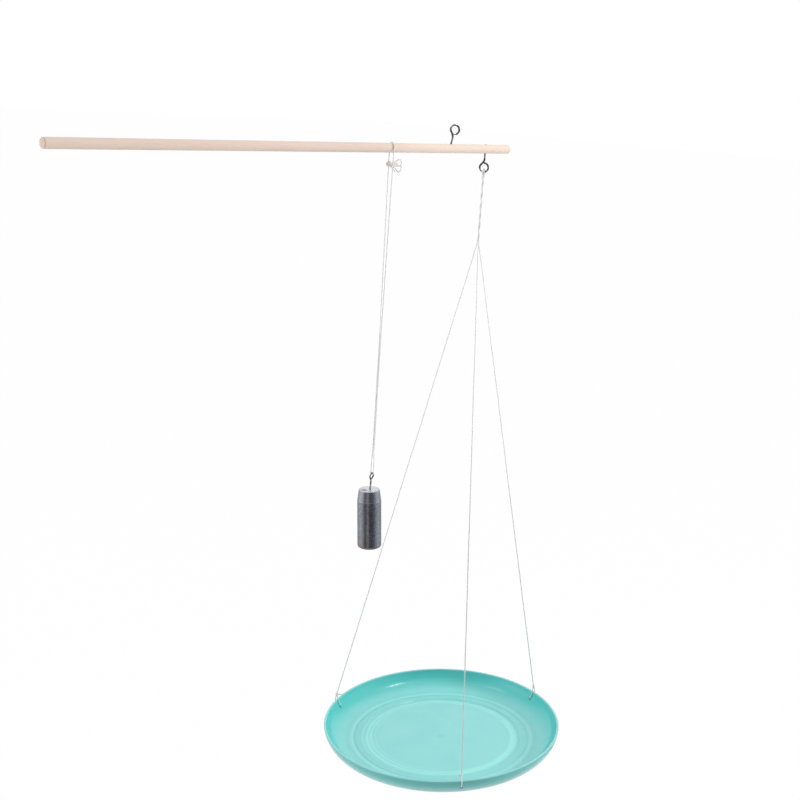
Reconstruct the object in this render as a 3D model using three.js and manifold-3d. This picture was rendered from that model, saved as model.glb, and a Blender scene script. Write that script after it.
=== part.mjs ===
// Hand-held steelyard: a wooden beam with two screw eyes, a dish on three cords and a steel
// weight whose cord slides along the beam. Millimetres, +Z up, +X along the beam to its tip.
// The origin is the centre of the fulcrum eye's ring, from which the whole steelyard hangs.
import * as THREE from "three";
import { mergeVertices } from "three/addons/utils/BufferGeometryUtils.js";
import Module from "manifold-3d";

const wasm = await Module();
wasm.setup();

// Beam
const beamDiameter = 5;
const beamLength = 300;
const beamEdgeRound = 0.6;
const fulcrumEyeFromTip = 49.8;
const panEyeFromTip = 19.6;
const loadFromTip = 95;

// Clearance between pieces that touch, and room for the saws and drills to run through
const seatGap = 0.3;
const overrun = 1;

// Screw eyes in the beam: a ring above a shank that is screwed through the wood
const eyeWire = 1.1;
const eyeRingRadius = 2.5;
const eyeStand = 7.8;
const eyeTipProud = 0.4;
const fulcrumEyeLean = 18;
const fulcrumEyeTurn = -28;
const panEyeTurn = -64;

// Shares of a ring's radius that shape the neck between shank and ring
const neckStartShare = 1.8;
const neckPullShare = 1.42;
const ringStartDegrees = 225;
const ringEndDegrees = -72;

// Cord, and the knots tied in it
const cordDiameter = 0.65;
const knotCoreShare = 0.95;
const ringKnotRadius = 1.15;
const gatherKnotRadius = 0.95;
const gatherKnotHalfHeight = 0.7;
const rimKnotRadius = 0.95;
const loadKnotRadius = 1.5;
const bundleWidthShare = 1.9;
const bundleLobeShare = 0.14;
const bundleTurns = 2;
const cordStartSpread = 0.05;

// Shares of a wall's reach and depth that bend it from the rim down to the dish's foot
const wallPullShares = [
  [0.08, 0.62],
  [0.46, 1],
];

// Dish, hung from three ties of unequal length, so that its axis leans towards one side
const dishLean = 4;
const dishLeanDegrees = 133;
const rimRadius = 74;
const dishWall = 1.4;
const dishDepth = 11;
const dishBaseRadius = 60.5;
const wallFootRadius = 57.5;
const grooveRadius = 55.6;
const grooveHalfWidth = 0.9;
const grooveDepth = 0.5;
const shelfInnerRadius = 47.5;
const shelfHeight = 0.6;
const floorRadius = 43.5;
const tieHoleRadius = 0.95;
const tieHoleDrop = 5;
const tieDegrees = { left: 111, right: -14, front: -128 };
const rimTailLength = 2.2;
const rimTailDegrees = { left: -47, front: 133 };

// Hanging heights, below the beam's axis
const ringKnotDrop = 3.3;
const gatherDrop = 52.8;
const rimDrop = 355.4;
const rimKnotRise = 3.6;
const loadTopDrop = 188;

// Steel weight and its own small screw eye
const weightRadius = 6.85;
const weightLength = 34;
const weightTopShare = 0.875;
const weightTaperLength = 6.3;
const weightTopRound = 0.4;
const weightFootRound = 1.6;
const weightEyeWire = 0.9;
const weightEyeRingRadius = 1.7;
const weightEyeStand = 7.8;
const weightEyeDepth = 7;
const weightEyeTurn = 15;
const weightEyeSkew = 7;
const weightEyeSkewDegrees = -47;

// The weight's cord: where its strands close up, as shares of its drop, and the legs of its bight
const nipStartShare = 0.58;
const nipEndShare = 0.915;
const bightLegLength = 2.4;
const saddleSkew = 1.2;
const saddleEndGap = 0.8;

// Bow on the weight's cord
const loadKnotDrop = 8.6;
const bowDegrees = { upper: -28, lower: -52 };
const bowTiltDegrees = { upper: 12, lower: -26 };
const bowLoopLength = 5.3;
const bowLoopHeight = 3;
const bowSwellShare = 0.965;
const bowTailDegrees = { upper: 0, lower: -10 };
const bowTailTiltDegrees = { upper: 4, lower: -40 };
const bowTailLength = { upper: 4.8, lower: 4 };

// Facets
const beamSides = 40;
const wireSides = 10;
const cordSides = 8;
const dishSides = 64;
const weightSides = 40;
const bundleSides = 15;
const knotSides = 5;
const knotSteps = 10;
const longCordSteps = 24;
const bundleSteps = 20;
const arcSteps = 12;
const tailSteps = 3;

const beamRadius = beamDiameter / 2;
const cordRadius = cordDiameter / 2;
const cordPitch = cordDiameter + seatGap;

const lean = THREE.MathUtils.degToRad(fulcrumEyeLean);
const beamZ = -(eyeStand + beamRadius);
const fulcrumX = beamZ * Math.tan(lean);
const tipX = fulcrumX + fulcrumEyeFromTip;
const panX = tipX - panEyeFromTip;
const loadX = tipX - loadFromTip;

const panRingBottomZ = beamZ - beamRadius - eyeStand - eyeRingRadius;
const ringKnotZ = panRingBottomZ - ringKnotDrop;
const gatherZ = beamZ - gatherDrop;
const rimZ = beamZ - rimDrop;
const weightEyeReach = weightEyeRingRadius + weightEyeStand;
const weightEyeTopZ = beamZ - loadTopDrop + weightEyeReach;

// The eye leans in the weight, so the weight leans back until its middle is under the ring's top
const skew = THREE.MathUtils.degToRad(weightEyeSkew);
const weightOffset = Math.tan(skew) * (weightEyeReach + weightEyeDepth / 2);
const weightLean = Math.atan2(weightOffset, weightEyeReach + weightLength / 2);

const finishes = {
  wood: { color: "#ecdccb", roughness: 0.62, metalness: 0 },
  plated: { color: "#6f7276", roughness: 0.28, metalness: 0.9 },
  steel: { color: "#64666c", roughness: 0.38, metalness: 0.85 },
  cord: { color: "#efeded", roughness: 0.9, metalness: 0 },
  plastic: { color: "#8fdad4", roughness: 0.34, metalness: 0 },
};

const root = new THREE.Group();

function addPiece(name, geometry, finish, parent = root) {
  const mesh = new THREE.Mesh(geometry, new THREE.MeshStandardMaterial(finishes[finish]));
  mesh.name = name;
  parent.add(mesh);
  return mesh;
}

// Solids to join or cut, and back again
function solidOf(geometry) {
  const bare = geometry.index ? geometry.toNonIndexed() : geometry.clone();
  bare.deleteAttribute("normal");
  bare.deleteAttribute("uv");
  const merged = mergeVertices(bare);
  return new wasm.Manifold(
    new wasm.Mesh({
      numProp: 3,
      vertProperties: new Float32Array(merged.attributes.position.array),
      triVerts: new Uint32Array(merged.index.array),
    }),
  );
}

function geometryOf(solid) {
  const mesh = solid.getMesh();
  const geometry = new THREE.BufferGeometry();
  geometry.setAttribute("position", new THREE.BufferAttribute(mesh.vertProperties, mesh.numProp));
  geometry.setIndex(new THREE.BufferAttribute(mesh.triVerts, 1));
  geometry.computeVertexNormals();
  return geometry;
}

// A curve whose sections fall on its own points, closer where it bends
class Route extends THREE.CatmullRomCurve3 {
  constructor(points) {
    super(points, false, "centripetal");
  }
  getPointAt(t, target) {
    return this.getPoint(t, target);
  }
  getTangentAt(t, target) {
    return this.getTangent(t, target);
  }
}

function ringOfCorners(radius, sides) {
  const corners = [];
  for (let i = 0; i < sides; i++) {
    const angle = (2 * Math.PI * i) / sides;
    corners.push(new THREE.Vector2(radius * Math.cos(angle), radius * Math.sin(angle)));
  }
  return corners;
}

function tube(points, radius, sides) {
  return new THREE.ExtrudeGeometry(new THREE.Shape(ringOfCorners(radius, sides)), {
    steps: points.length - 1,
    extrudePath: new Route(points),
    bevelEnabled: false,
  });
}

// A profile of [radius, height] pairs turned about the Z axis
function turned(profile, sides) {
  const geometry = new THREE.LatheGeometry(
    profile.map(([r, z]) => new THREE.Vector2(r, z)),
    sides,
  );
  geometry.rotateX(Math.PI / 2);
  return geometry;
}

// A rod between two points, used to drill
function drill(from, to, radius) {
  const along = new THREE.Vector3().subVectors(to, from);
  const rod = new THREE.CylinderGeometry(radius, radius, along.length(), wireSides);
  const turn = new THREE.Quaternion().setFromUnitVectors(
    new THREE.Vector3(0, 1, 0),
    along.clone().normalize(),
  );
  rod.applyQuaternion(turn);
  rod.translate(...from.clone().add(to).multiplyScalar(1 / 2).toArray());
  return solidOf(rod);
}

function quarterArc(cx, cz, radius, fromDegrees, toDegrees, steps) {
  const points = [];
  for (let i = 0; i <= steps; i++) {
    const a = THREE.MathUtils.degToRad(fromDegrees + ((toDegrees - fromDegrees) * i) / steps);
    points.push([cx + radius * Math.cos(a), cz + radius * Math.sin(a)]);
  }
  return points;
}

// The direction in the XY plane at an angle from +X, and a point reached along it
function heading(degrees) {
  const a = THREE.MathUtils.degToRad(degrees);
  return new THREE.Vector3(Math.cos(a), Math.sin(a), 0);
}

function reach(x, degrees, distance, z) {
  return heading(degrees).multiplyScalar(distance).add(new THREE.Vector3(x, 0, z));
}

function beam() {
  const straight = turned(
    [
      [0, 0],
      ...quarterArc(beamRadius - beamEdgeRound, beamEdgeRound, beamEdgeRound, -90, 0, 3),
      ...quarterArc(beamRadius - beamEdgeRound, beamLength - beamEdgeRound, beamEdgeRound, 0, 90, 3),
      [0, beamLength],
    ],
    beamSides,
  );
  straight.rotateY(Math.PI / 2);
  straight.translate(tipX - beamLength, 0, beamZ);
  const holeRadius = eyeWire / 2 + seatGap;
  const half = beamRadius + overrun;
  const panHole = drill(
    new THREE.Vector3(panX, 0, beamZ - half),
    new THREE.Vector3(panX, 0, beamZ + half),
    holeRadius,
  );
  const slope = Math.tan(lean) * half;
  const fulcrumHole = drill(
    new THREE.Vector3(fulcrumX - slope, 0, beamZ - half),
    new THREE.Vector3(fulcrumX + slope, 0, beamZ + half),
    holeRadius,
  );
  return geometryOf(solidOf(straight).subtract(panHole).subtract(fulcrumHole));
}

// A screw eye of bent wire in the XZ plane: ring at the origin, shank down to its tip
function screwEye(wire, ringRadius, tipDepth) {
  const at = (u, w) => new THREE.Vector3(u, 0, w);
  const neckStart = -neckStartShare * ringRadius;
  const shankStep = (tipDepth + neckStart) / 4;
  const points = [];
  for (let i = 0; i < 4; i++) points.push(at(0, -tipDepth + i * shankStep));
  const onRing = (degrees) => {
    const a = THREE.MathUtils.degToRad(degrees);
    return at(ringRadius * Math.cos(a), ringRadius * Math.sin(a));
  };
  const neck = new THREE.QuadraticBezierCurve3(
    at(0, neckStart),
    at(0, -neckPullShare * ringRadius),
    onRing(ringStartDegrees),
  );
  points.push(...neck.getPoints(4).slice(0, -1));
  const ringSteps = 2 * arcSteps;
  for (let i = 0; i <= ringSteps; i++) {
    points.push(onRing(ringStartDegrees + ((ringEndDegrees - ringStartDegrees) * i) / ringSteps));
  }
  return tube(points, wire / 2, wireSides);
}

function addBeamAndEyes() {
  addPiece("beam", beam(), "wood");
  const screwLength = eyeStand + beamDiameter + eyeTipProud;
  const fulcrumEye = screwEye(eyeWire, eyeRingRadius, screwLength);
  fulcrumEye.rotateZ(THREE.MathUtils.degToRad(fulcrumEyeTurn));
  fulcrumEye.rotateY(lean);
  addPiece("fulcrum_eye", fulcrumEye, "plated");
  const panEye = screwEye(eyeWire, eyeRingRadius, screwLength);
  panEye.rotateX(Math.PI);
  panEye.rotateZ(THREE.MathUtils.degToRad(panEyeTurn));
  panEye.translate(panX, 0, beamZ - beamRadius - eyeStand);
  addPiece("pan_eye", panEye, "plated");
}

// A knot: a core with two turns of cord laid across each other
function knot(radius, halfHeight) {
  const core = new THREE.SphereGeometry(radius * knotCoreShare, cordSides, cordSides / 2);
  core.rotateX(Math.PI / 2);
  const turn = () => new THREE.TorusGeometry(radius - cordRadius, cordRadius, knotSides, knotSteps);
  const across = turn();
  across.rotateX(Math.PI / 3);
  const along = turn();
  along.rotateX(Math.PI / 2);
  along.rotateZ(Math.PI / 3);
  const joined = solidOf(core).add(solidOf(across)).add(solidOf(along));
  const geometry = geometryOf(joined);
  geometry.scale(1, 1, halfHeight / radius);
  return geometry;
}

function addKnot(name, place, radius, halfHeight, turnDegrees = 0, parent = root) {
  const geometry = knot(radius, halfHeight);
  geometry.rotateZ(THREE.MathUtils.degToRad(turnDegrees));
  geometry.translate(...place.toArray());
  addPiece(name, geometry, "cord", parent);
}

// A length of cord pulled straight
function addStraightCord(name, from, to, steps, parent = root) {
  const points = [];
  for (let i = 0; i <= steps; i++) points.push(from.clone().lerp(to, i / steps));
  addPiece(name, tube(points, cordRadius, cordSides), "cord", parent);
}

// The cut end of a cord where it leaves a knot
function addTail(name, knotPlace, radius, degrees, tiltDegrees, length, parent = root) {
  const tilt = THREE.MathUtils.degToRad(tiltDegrees);
  const out = heading(degrees).multiplyScalar(Math.cos(tilt));
  out.z = Math.sin(tilt);
  const start = radius + seatGap;
  const from = knotPlace.clone().addScaledVector(out, start);
  const to = knotPlace.clone().addScaledVector(out, start + length);
  addStraightCord(name, from, to, tailSteps, parent);
}

// A bight of cord round a wire: an arch about the wire's centre and two legs down to a level
function bightPoints(centre, acrossDegrees, archRadius, legLength, legSpread, upwards) {
  const sign = upwards ? 1 : -1;
  const points = [];
  const place = (across, height) =>
    heading(acrossDegrees)
      .multiplyScalar(across)
      .add(centre)
      .add(new THREE.Vector3(0, 0, sign * height));
  points.push(place(-legSpread, -legLength));
  for (let i = 0; i <= arcSteps; i++) {
    const a = Math.PI * (1 - i / arcSteps);
    points.push(place(archRadius * Math.cos(a), archRadius * Math.sin(a)));
  }
  points.push(place(legSpread, -legLength));
  return points;
}

function addPanHanger() {
  const archRadius = eyeWire / 2 + seatGap + cordRadius;
  const acrossRing = panEyeTurn + 90;
  const centre = new THREE.Vector3(panX, 0, panRingBottomZ);
  const legLength = ringKnotDrop - ringKnotRadius - seatGap;
  const legs = bightPoints(centre, acrossRing, archRadius, legLength, cordPitch / 2, true);
  addPiece("pan_ring_loop", tube(legs, cordRadius, cordSides), "cord");
  addKnot("pan_ring_knot", new THREE.Vector3(panX, 0, ringKnotZ), ringKnotRadius, ringKnotRadius);
}

// The three pan cords laid together, as one strand of three lobes with a slow twist
function addPanBundle() {
  const top = ringKnotZ - ringKnotRadius - seatGap;
  const bottom = gatherZ + gatherKnotHalfHeight + seatGap;
  const lobes = new THREE.Shape(
    ringOfCorners(cordRadius, bundleSides).map((corner, i) => {
      const swell = 1 + bundleLobeShare * Math.cos((2 * Math.PI * 3 * i) / bundleSides);
      return corner.multiplyScalar(bundleWidthShare * swell);
    }),
  );
  const strand = new THREE.ExtrudeGeometry(lobes, {
    steps: bundleSteps,
    depth: top - bottom,
    bevelEnabled: false,
  });
  const position = strand.attributes.position;
  for (let i = 0; i < position.count; i++) {
    const turn = (position.getZ(i) / (top - bottom)) * bundleTurns * 2 * Math.PI;
    const x = position.getX(i);
    const y = position.getY(i);
    position.setX(i, x * Math.cos(turn) - y * Math.sin(turn));
    position.setY(i, x * Math.sin(turn) + y * Math.cos(turn));
  }
  strand.translate(panX, 0, bottom);
  addPiece("pan_cord_bundle", strand, "cord");
  addKnot(
    "pan_gather_knot",
    new THREE.Vector3(panX, 0, gatherZ),
    gatherKnotRadius,
    gatherKnotHalfHeight,
  );
}

// A group whose up axis leans by an angle towards a heading
function leaningGroup(place, leanAngle, degrees) {
  const group = new THREE.Group();
  group.position.copy(place);
  group.quaternion.setFromAxisAngle(heading(degrees + 90), leanAngle);
  group.updateMatrixWorld();
  root.add(group);
  return group;
}

// The wall's curve from just under the rim to its foot, as [radius, height] pairs
function wallCurve(topRadius, topZ, footRadius, footZ) {
  const place = ([inShare, downShare]) =>
    new THREE.Vector2(
      topRadius - inShare * (topRadius - footRadius),
      topZ - downShare * (topZ - footZ),
    );
  const curve = new THREE.CubicBezierCurve(
    new THREE.Vector2(topRadius, topZ),
    ...wallPullShares.map(place),
    new THREE.Vector2(footRadius, footZ),
  );
  return curve;
}

function curvePairs(curve, steps) {
  return curve.getPoints(steps).map((point) => [point.x, point.y]);
}

const lipRadius = dishWall / 2;
const tieRadius = rimRadius - lipRadius;
const innerTopRadius = rimRadius - dishWall;
const shelfZ = -dishDepth + shelfHeight;
const innerWall = wallCurve(innerTopRadius, -lipRadius, wallFootRadius, shelfZ);
const outerWall = wallCurve(rimRadius, -lipRadius, dishBaseRadius, -dishDepth - dishWall);

// The wall's radius at a height, found along its curve
function radiusAt(curve, z) {
  let low = 0;
  let high = 1;
  while (high - low > Number.EPSILON) {
    const middle = (low + high) / 2;
    if (middle === low || middle === high) break;
    if (curve.getPoint(middle).y > z) low = middle;
    else high = middle;
  }
  return curve.getPoint(low).x;
}

function dish() {
  const lip = quarterArc(rimRadius - lipRadius, -lipRadius, lipRadius, 0, 180, 6);
  const bowl = turned(
    [
      [0, -dishDepth - dishWall],
      ...curvePairs(outerWall, 8).reverse(),
      ...lip.slice(1, -1),
      ...curvePairs(innerWall, 8),
      [grooveRadius + grooveHalfWidth, shelfZ],
      [grooveRadius, shelfZ - grooveDepth],
      [grooveRadius - grooveHalfWidth, shelfZ],
      [shelfInnerRadius, shelfZ],
      [floorRadius, -dishDepth],
      [0, -dishDepth],
    ],
    dishSides,
  );
  let solid = solidOf(bowl);
  for (const degrees of Object.values(tieDegrees)) {
    const inner = reach(0, degrees, wallFootRadius, -tieHoleDrop);
    const outer = reach(0, degrees, rimRadius + overrun, -tieHoleDrop);
    solid = solid.subtract(drill(inner, outer, tieHoleRadius));
  }
  return geometryOf(solid);
}

// A tie: a loop of cord through the hole and over the rim, knotted above it
function addTie(side, degrees, parent) {
  const clear = seatGap + cordRadius;
  const innerRadius = radiusAt(innerWall, -tieHoleDrop) - clear;
  const innerTop = innerTopRadius - clear;
  const outerRadius = rimRadius + clear;
  const place = (radius, z) => reach(0, degrees, radius, z);
  const legTopZ = rimKnotRise - rimKnotRadius - seatGap;
  const points = [
    place(tieRadius - cordPitch / 2, legTopZ),
    place(innerTop, 0),
    place((innerTop + innerRadius) / 2, -tieHoleDrop / 2),
    place(innerRadius, clear - tieHoleDrop),
    place(innerRadius + cordRadius, -tieHoleDrop),
    place(tieRadius, -tieHoleDrop),
    place(outerRadius - cordRadius, -tieHoleDrop),
    place(outerRadius, clear - tieHoleDrop),
    place(outerRadius, -tieHoleDrop / 2),
    place(outerRadius, -lipRadius),
    place(tieRadius + cordPitch / 2, legTopZ),
  ];
  const smooth = new THREE.CatmullRomCurve3(points, false, "centripetal");
  const loop = tube(smooth.getSpacedPoints(2 * arcSteps), cordRadius, cordSides);
  addPiece("rim_loop_" + side, loop, "cord", parent);
  const knotPlace = place(tieRadius, rimKnotRise);
  addKnot("rim_knot_" + side, knotPlace, rimKnotRadius, rimKnotRadius, degrees, parent);
  if (side in rimTailDegrees) {
    const name = "rim_tail_" + side;
    addTail(name, knotPlace, rimKnotRadius, rimTailDegrees[side], 0, rimTailLength, parent);
  }
}

function addPan() {
  const pan = leaningGroup(
    new THREE.Vector3(panX, 0, rimZ),
    THREE.MathUtils.degToRad(dishLean),
    dishLeanDegrees,
  );
  addPiece("pan_dish", dish(), "plastic", pan);
  const startRadius = cordPitch / Math.sqrt(3) + cordStartSpread;
  const startZ = gatherZ - gatherKnotHalfHeight - seatGap;
  for (const [side, degrees] of Object.entries(tieDegrees)) {
    addTie(side, degrees, pan);
    const from = reach(panX, degrees, startRadius, startZ);
    const to = pan.localToWorld(reach(0, degrees, tieRadius, rimKnotRise));
    const short = rimKnotRadius + seatGap;
    to.lerp(from, short / to.distanceTo(from));
    addStraightCord("pan_cord_" + side, from, to, longCordSteps);
  }
}

// The weight with a blind hole for its eye's shank
function weightBody() {
  const topRadius = weightRadius * weightTopShare;
  const body = turned(
    [
      [0, -weightLength],
      ...quarterArc(
        weightRadius - weightFootRound,
        weightFootRound - weightLength,
        weightFootRound,
        -90,
        0,
        4,
      ),
      [weightRadius, -weightTaperLength],
      ...quarterArc(topRadius - weightTopRound, -weightTopRound, weightTopRound, 0, 90, 2),
      [0, 0],
    ],
    weightSides,
  );
  const offset = heading(weightEyeSkewDegrees).multiplyScalar(-weightOffset);
  body.translate(offset.x, offset.y, -weightEyeReach);
  const along = heading(weightEyeSkewDegrees).multiplyScalar(-Math.sin(skew));
  along.z = -Math.cos(skew);
  const hole = drill(
    along.clone().multiplyScalar(weightEyeReach - overrun),
    along.clone().multiplyScalar(weightEyeReach + weightEyeDepth + seatGap),
    weightEyeWire / 2 + seatGap,
  );
  return geometryOf(solidOf(body).subtract(hole));
}

function addWeight() {
  const load = leaningGroup(
    new THREE.Vector3(loadX, 0, weightEyeTopZ),
    -weightLean,
    weightEyeSkewDegrees,
  );
  addPiece("weight_body", weightBody(), "steel", load);
  const eye = screwEye(weightEyeWire, weightEyeRingRadius, weightEyeStand + weightEyeDepth);
  eye.translate(0, 0, -weightEyeRingRadius);
  eye.rotateZ(THREE.MathUtils.degToRad(weightEyeTurn));
  const eyePiece = addPiece("weight_eye", eye, "plated", load);
  eyePiece.quaternion.setFromAxisAngle(heading(weightEyeSkewDegrees + 90), skew);
}

const saddleRadius = beamRadius + seatGap + cordRadius;
const weightBightRadius = weightEyeWire / 2 + seatGap + cordRadius;
const loadCordDrop = beamZ - weightEyeTopZ;
const bightTopZ = weightEyeTopZ + bightLegLength;

// Where a strand of the weight's cord lies at a height: side is -1 in front and 1 behind
function strandPoint(side, z) {
  const across = heading(weightEyeTurn + 90).multiplyScalar(side);
  const atBeam = new THREE.Vector3(side * saddleSkew, side * saddleRadius, 0);
  const atNip = across.clone().multiplyScalar(cordPitch / 2);
  const atBight = across.clone().multiplyScalar(weightBightRadius);
  const share = (beamZ - z) / loadCordDrop;
  const bightShare = (beamZ - bightTopZ) / loadCordDrop;
  const closing = THREE.MathUtils.clamp(share / nipStartShare, 0, 1);
  const opening = THREE.MathUtils.smoothstep(share, nipEndShare, bightShare);
  const point = atBeam.lerp(atNip, closing).lerp(atBight, opening);
  return point.add(new THREE.Vector3(loadX, 0, z));
}

function addStrand(name, side, fromZ, toZ, steps) {
  const points = [];
  for (let i = 0; i <= steps; i++) {
    points.push(strandPoint(side, THREE.MathUtils.lerp(fromZ, toZ, i / steps)));
  }
  addPiece(name, tube(points, cordRadius, cordSides), "cord");
}

// One loop of the bow: a drop shape that leaves the knot and comes back to it
function bowLoop(knotPlace, degrees, tiltDegrees) {
  const tilt = THREE.MathUtils.degToRad(tiltDegrees);
  const up = new THREE.Vector3(0, 0, 1);
  const out = heading(degrees).multiplyScalar(Math.cos(tilt)).addScaledVector(up, Math.sin(tilt));
  const across = heading(degrees).multiplyScalar(-Math.sin(tilt)).addScaledVector(up, Math.cos(tilt));
  const start = loadKnotRadius + seatGap;
  const legOffset = (cordDiameter + seatGap / 2) / 2;
  const points = [];
  for (let i = 0; i <= 2 * arcSteps; i++) {
    const turn = (2 * Math.PI * i) / (2 * arcSteps);
    const reached = Math.sin(turn / 2) ** 2;
    const swell = bowSwellShare * bowLoopHeight * Math.sin(turn) * reached ** 2;
    const leg = legOffset * Math.cos(turn / 2) * (1 - reached);
    points.push(
      knotPlace
        .clone()
        .addScaledVector(out, start + bowLoopLength * reached)
        .addScaledVector(across, swell + leg),
    );
  }
  return tube(points, cordRadius, cordSides);
}

function addLoadCord() {
  const saddle = [];
  for (let i = 0; i <= arcSteps; i++) {
    const a = (Math.PI * i) / arcSteps;
    saddle.push(
      new THREE.Vector3(
        loadX - saddleSkew * Math.cos(a),
        -saddleRadius * Math.cos(a),
        beamZ + saddleRadius * Math.sin(a),
      ),
    );
  }
  addPiece("load_cord_saddle", tube(saddle, cordRadius, cordSides), "cord");
  const knotPlace = strandPoint(1, beamZ - loadKnotDrop);
  const knotReach = loadKnotRadius + seatGap;
  const strandTop = beamZ - saddleEndGap;
  const strandFoot = bightTopZ + seatGap;
  addStrand("load_cord_front", -1, strandTop, strandFoot, longCordSteps);
  addStrand("load_cord_back_upper", 1, strandTop, knotPlace.z + knotReach, tailSteps);
  addStrand("load_cord_back_lower", 1, knotPlace.z - knotReach, strandFoot, longCordSteps);
  addKnot("load_knot", knotPlace, loadKnotRadius, loadKnotRadius);
  for (const level of Object.keys(bowDegrees)) {
    const loop = bowLoop(knotPlace, bowDegrees[level], bowTiltDegrees[level]);
    addPiece("bow_loop_" + level, loop, "cord");
    addTail(
      "bow_tail_" + level,
      knotPlace,
      loadKnotRadius,
      bowTailDegrees[level],
      bowTailTiltDegrees[level],
      bowTailLength[level],
    );
  }
  const centre = new THREE.Vector3(loadX, 0, weightEyeTopZ);
  const bight = bightPoints(
    centre,
    weightEyeTurn + 90,
    weightBightRadius,
    bightLegLength,
    weightBightRadius,
    false,
  );
  addPiece("load_cord_bight", tube(bight, cordRadius, cordSides), "cord");
}

addBeamAndEyes();
addPanHanger();
addPanBundle();
addPan();
addLoadCord();
addWeight();

export default root;
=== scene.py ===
import math

import bpy
import numpy as np
from mathutils import Matrix, Vector


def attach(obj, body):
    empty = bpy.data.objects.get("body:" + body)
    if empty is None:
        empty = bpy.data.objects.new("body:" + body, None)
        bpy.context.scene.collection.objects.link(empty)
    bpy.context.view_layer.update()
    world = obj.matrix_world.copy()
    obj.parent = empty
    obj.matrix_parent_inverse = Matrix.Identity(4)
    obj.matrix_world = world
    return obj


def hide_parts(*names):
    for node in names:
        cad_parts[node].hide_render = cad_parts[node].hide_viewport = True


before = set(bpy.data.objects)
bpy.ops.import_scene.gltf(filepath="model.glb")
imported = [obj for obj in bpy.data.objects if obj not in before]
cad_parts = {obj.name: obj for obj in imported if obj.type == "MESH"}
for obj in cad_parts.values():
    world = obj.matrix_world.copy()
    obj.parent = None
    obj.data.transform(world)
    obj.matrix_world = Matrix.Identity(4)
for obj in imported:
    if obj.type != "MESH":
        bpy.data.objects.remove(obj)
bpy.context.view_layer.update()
print("frame loaded")

# Sizes are in millimetres and angles in degrees, as on the bench; meshes are written in metres.
mm = 0.001
fullTurn = 2 * math.pi
upward = np.array([0.0, 0.0, 1.0])
curveDetail = 30  # places worked out on a curve for each point that it goes through

# The steelyard's own layout, that every piece hangs from; its origin is in the fulcrum eye's ring
layout = {
    "beamZ": -10.3,
    "beamRadius": 2.5,
    "beamLength": 300,
    "fulcrumX": -3.3467,
    "tipX": 46.4533,
    "panX": 26.8533,
    "loadX": -48.5467,
    "panRingBottomZ": -23.1,
    "ringKnotZ": -26.4,
    "gatherZ": -63.1,
    "rimZ": -365.7,
    "weightEyeTopZ": -188.8,
    "touch": 0.03,  # what is left between a cord and what it bears on
}


def heading(degrees):
    # the level direction at an angle from +X
    angle = math.radians(degrees)
    return np.array([math.cos(angle), math.sin(angle), 0.0])


def unit(vectors):
    # each vector over its own length
    return vectors / np.linalg.norm(vectors, axis=-1, keepdims=True)


def ease(low, high, values):
    # 0 below low, 1 above high, and t * t * (3 - 2 t) between them
    share = np.clip((values - low) / (high - low), 0, 1)
    return share * share * (3 - 2 * share)


def turned(degrees, axis):
    # the matrix of a turn about an axis through the origin
    return np.array(Matrix.Rotation(math.radians(degrees), 4, Vector(axis)))


def moved(x, y, z):
    # the matrix of a move
    return np.array(Matrix.Translation(Vector((x, y, z))))


def placed(points, matrix):
    # the points turned and moved by a matrix
    return points @ matrix[:3, :3].T + matrix[:3, 3]


def lengthsAlong(line):
    # how far along the line each of its points is: the sum of the steps before it
    steps = np.linalg.norm(np.diff(line, axis=0), axis=1)
    return np.concatenate([[0], np.cumsum(steps)])


def evenly(line, step):
    # the same line with points about a step apart
    along = lengthsAlong(line)
    at = np.linspace(0, along[-1], max(3, int(along[-1] / step) + 1))
    return np.stack([np.interp(at, along, line[:, k]) for k in range(3)], axis=1)


def through(points, step):
    # the centripetal Catmull-Rom curve through the points: nested straight blends between
    # four neighbours, with each knot spaced by the square root of the distance
    p = np.asarray(points, float)
    p = np.vstack([2 * p[0] - p[1], p, 2 * p[-1] - p[-2]])
    gaps = np.sqrt(np.linalg.norm(np.diff(p, axis=0), axis=1))
    knots = np.concatenate([[0], np.cumsum(gaps)])
    t = np.linspace(knots[1], knots[-2], curveDetail * len(points))
    i = np.clip(np.searchsorted(knots, t, "right") - 1, 1, len(points) - 1)

    def blend(a, b, low, high):
        share = ((t - low) / (high - low))[:, None]
        return a * (1 - share) + b * share

    k = [knots[i + j] for j in (-1, 0, 1, 2)]
    a = [blend(p[i + j - 1], p[i + j], k[j], k[j + 1]) for j in range(3)]
    b = [blend(a[j], a[j + 1], k[j], k[j + 2]) for j in range(2)]
    return evenly(blend(b[0], b[1], k[1], k[2]), step)


def frameAlong(path, reference):
    # two directions square to the path: the reference with its part along the path taken
    # off, and the one square to both
    tangent = unit(np.gradient(path, axis=0))
    side = np.broadcast_to(reference, path.shape)
    side = unit(side - (side * tangent).sum(1, keepdims=True) * tangent)
    return side, np.cross(tangent, side)


def swept(path, reference, radius, sides):
    # centre + radius * (cos a * side + sin a * up), for a grid of places along and angles round
    side, up = frameAlong(path, reference)
    angle = np.linspace(0, fullTurn, sides, endpoint=False)[None, :, None]
    radius = np.broadcast_to(radius, (len(path), sides))[:, :, None]
    ring = np.cos(angle) * side[:, None] + np.sin(angle) * up[:, None]
    return path[:, None] + radius * ring


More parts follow.
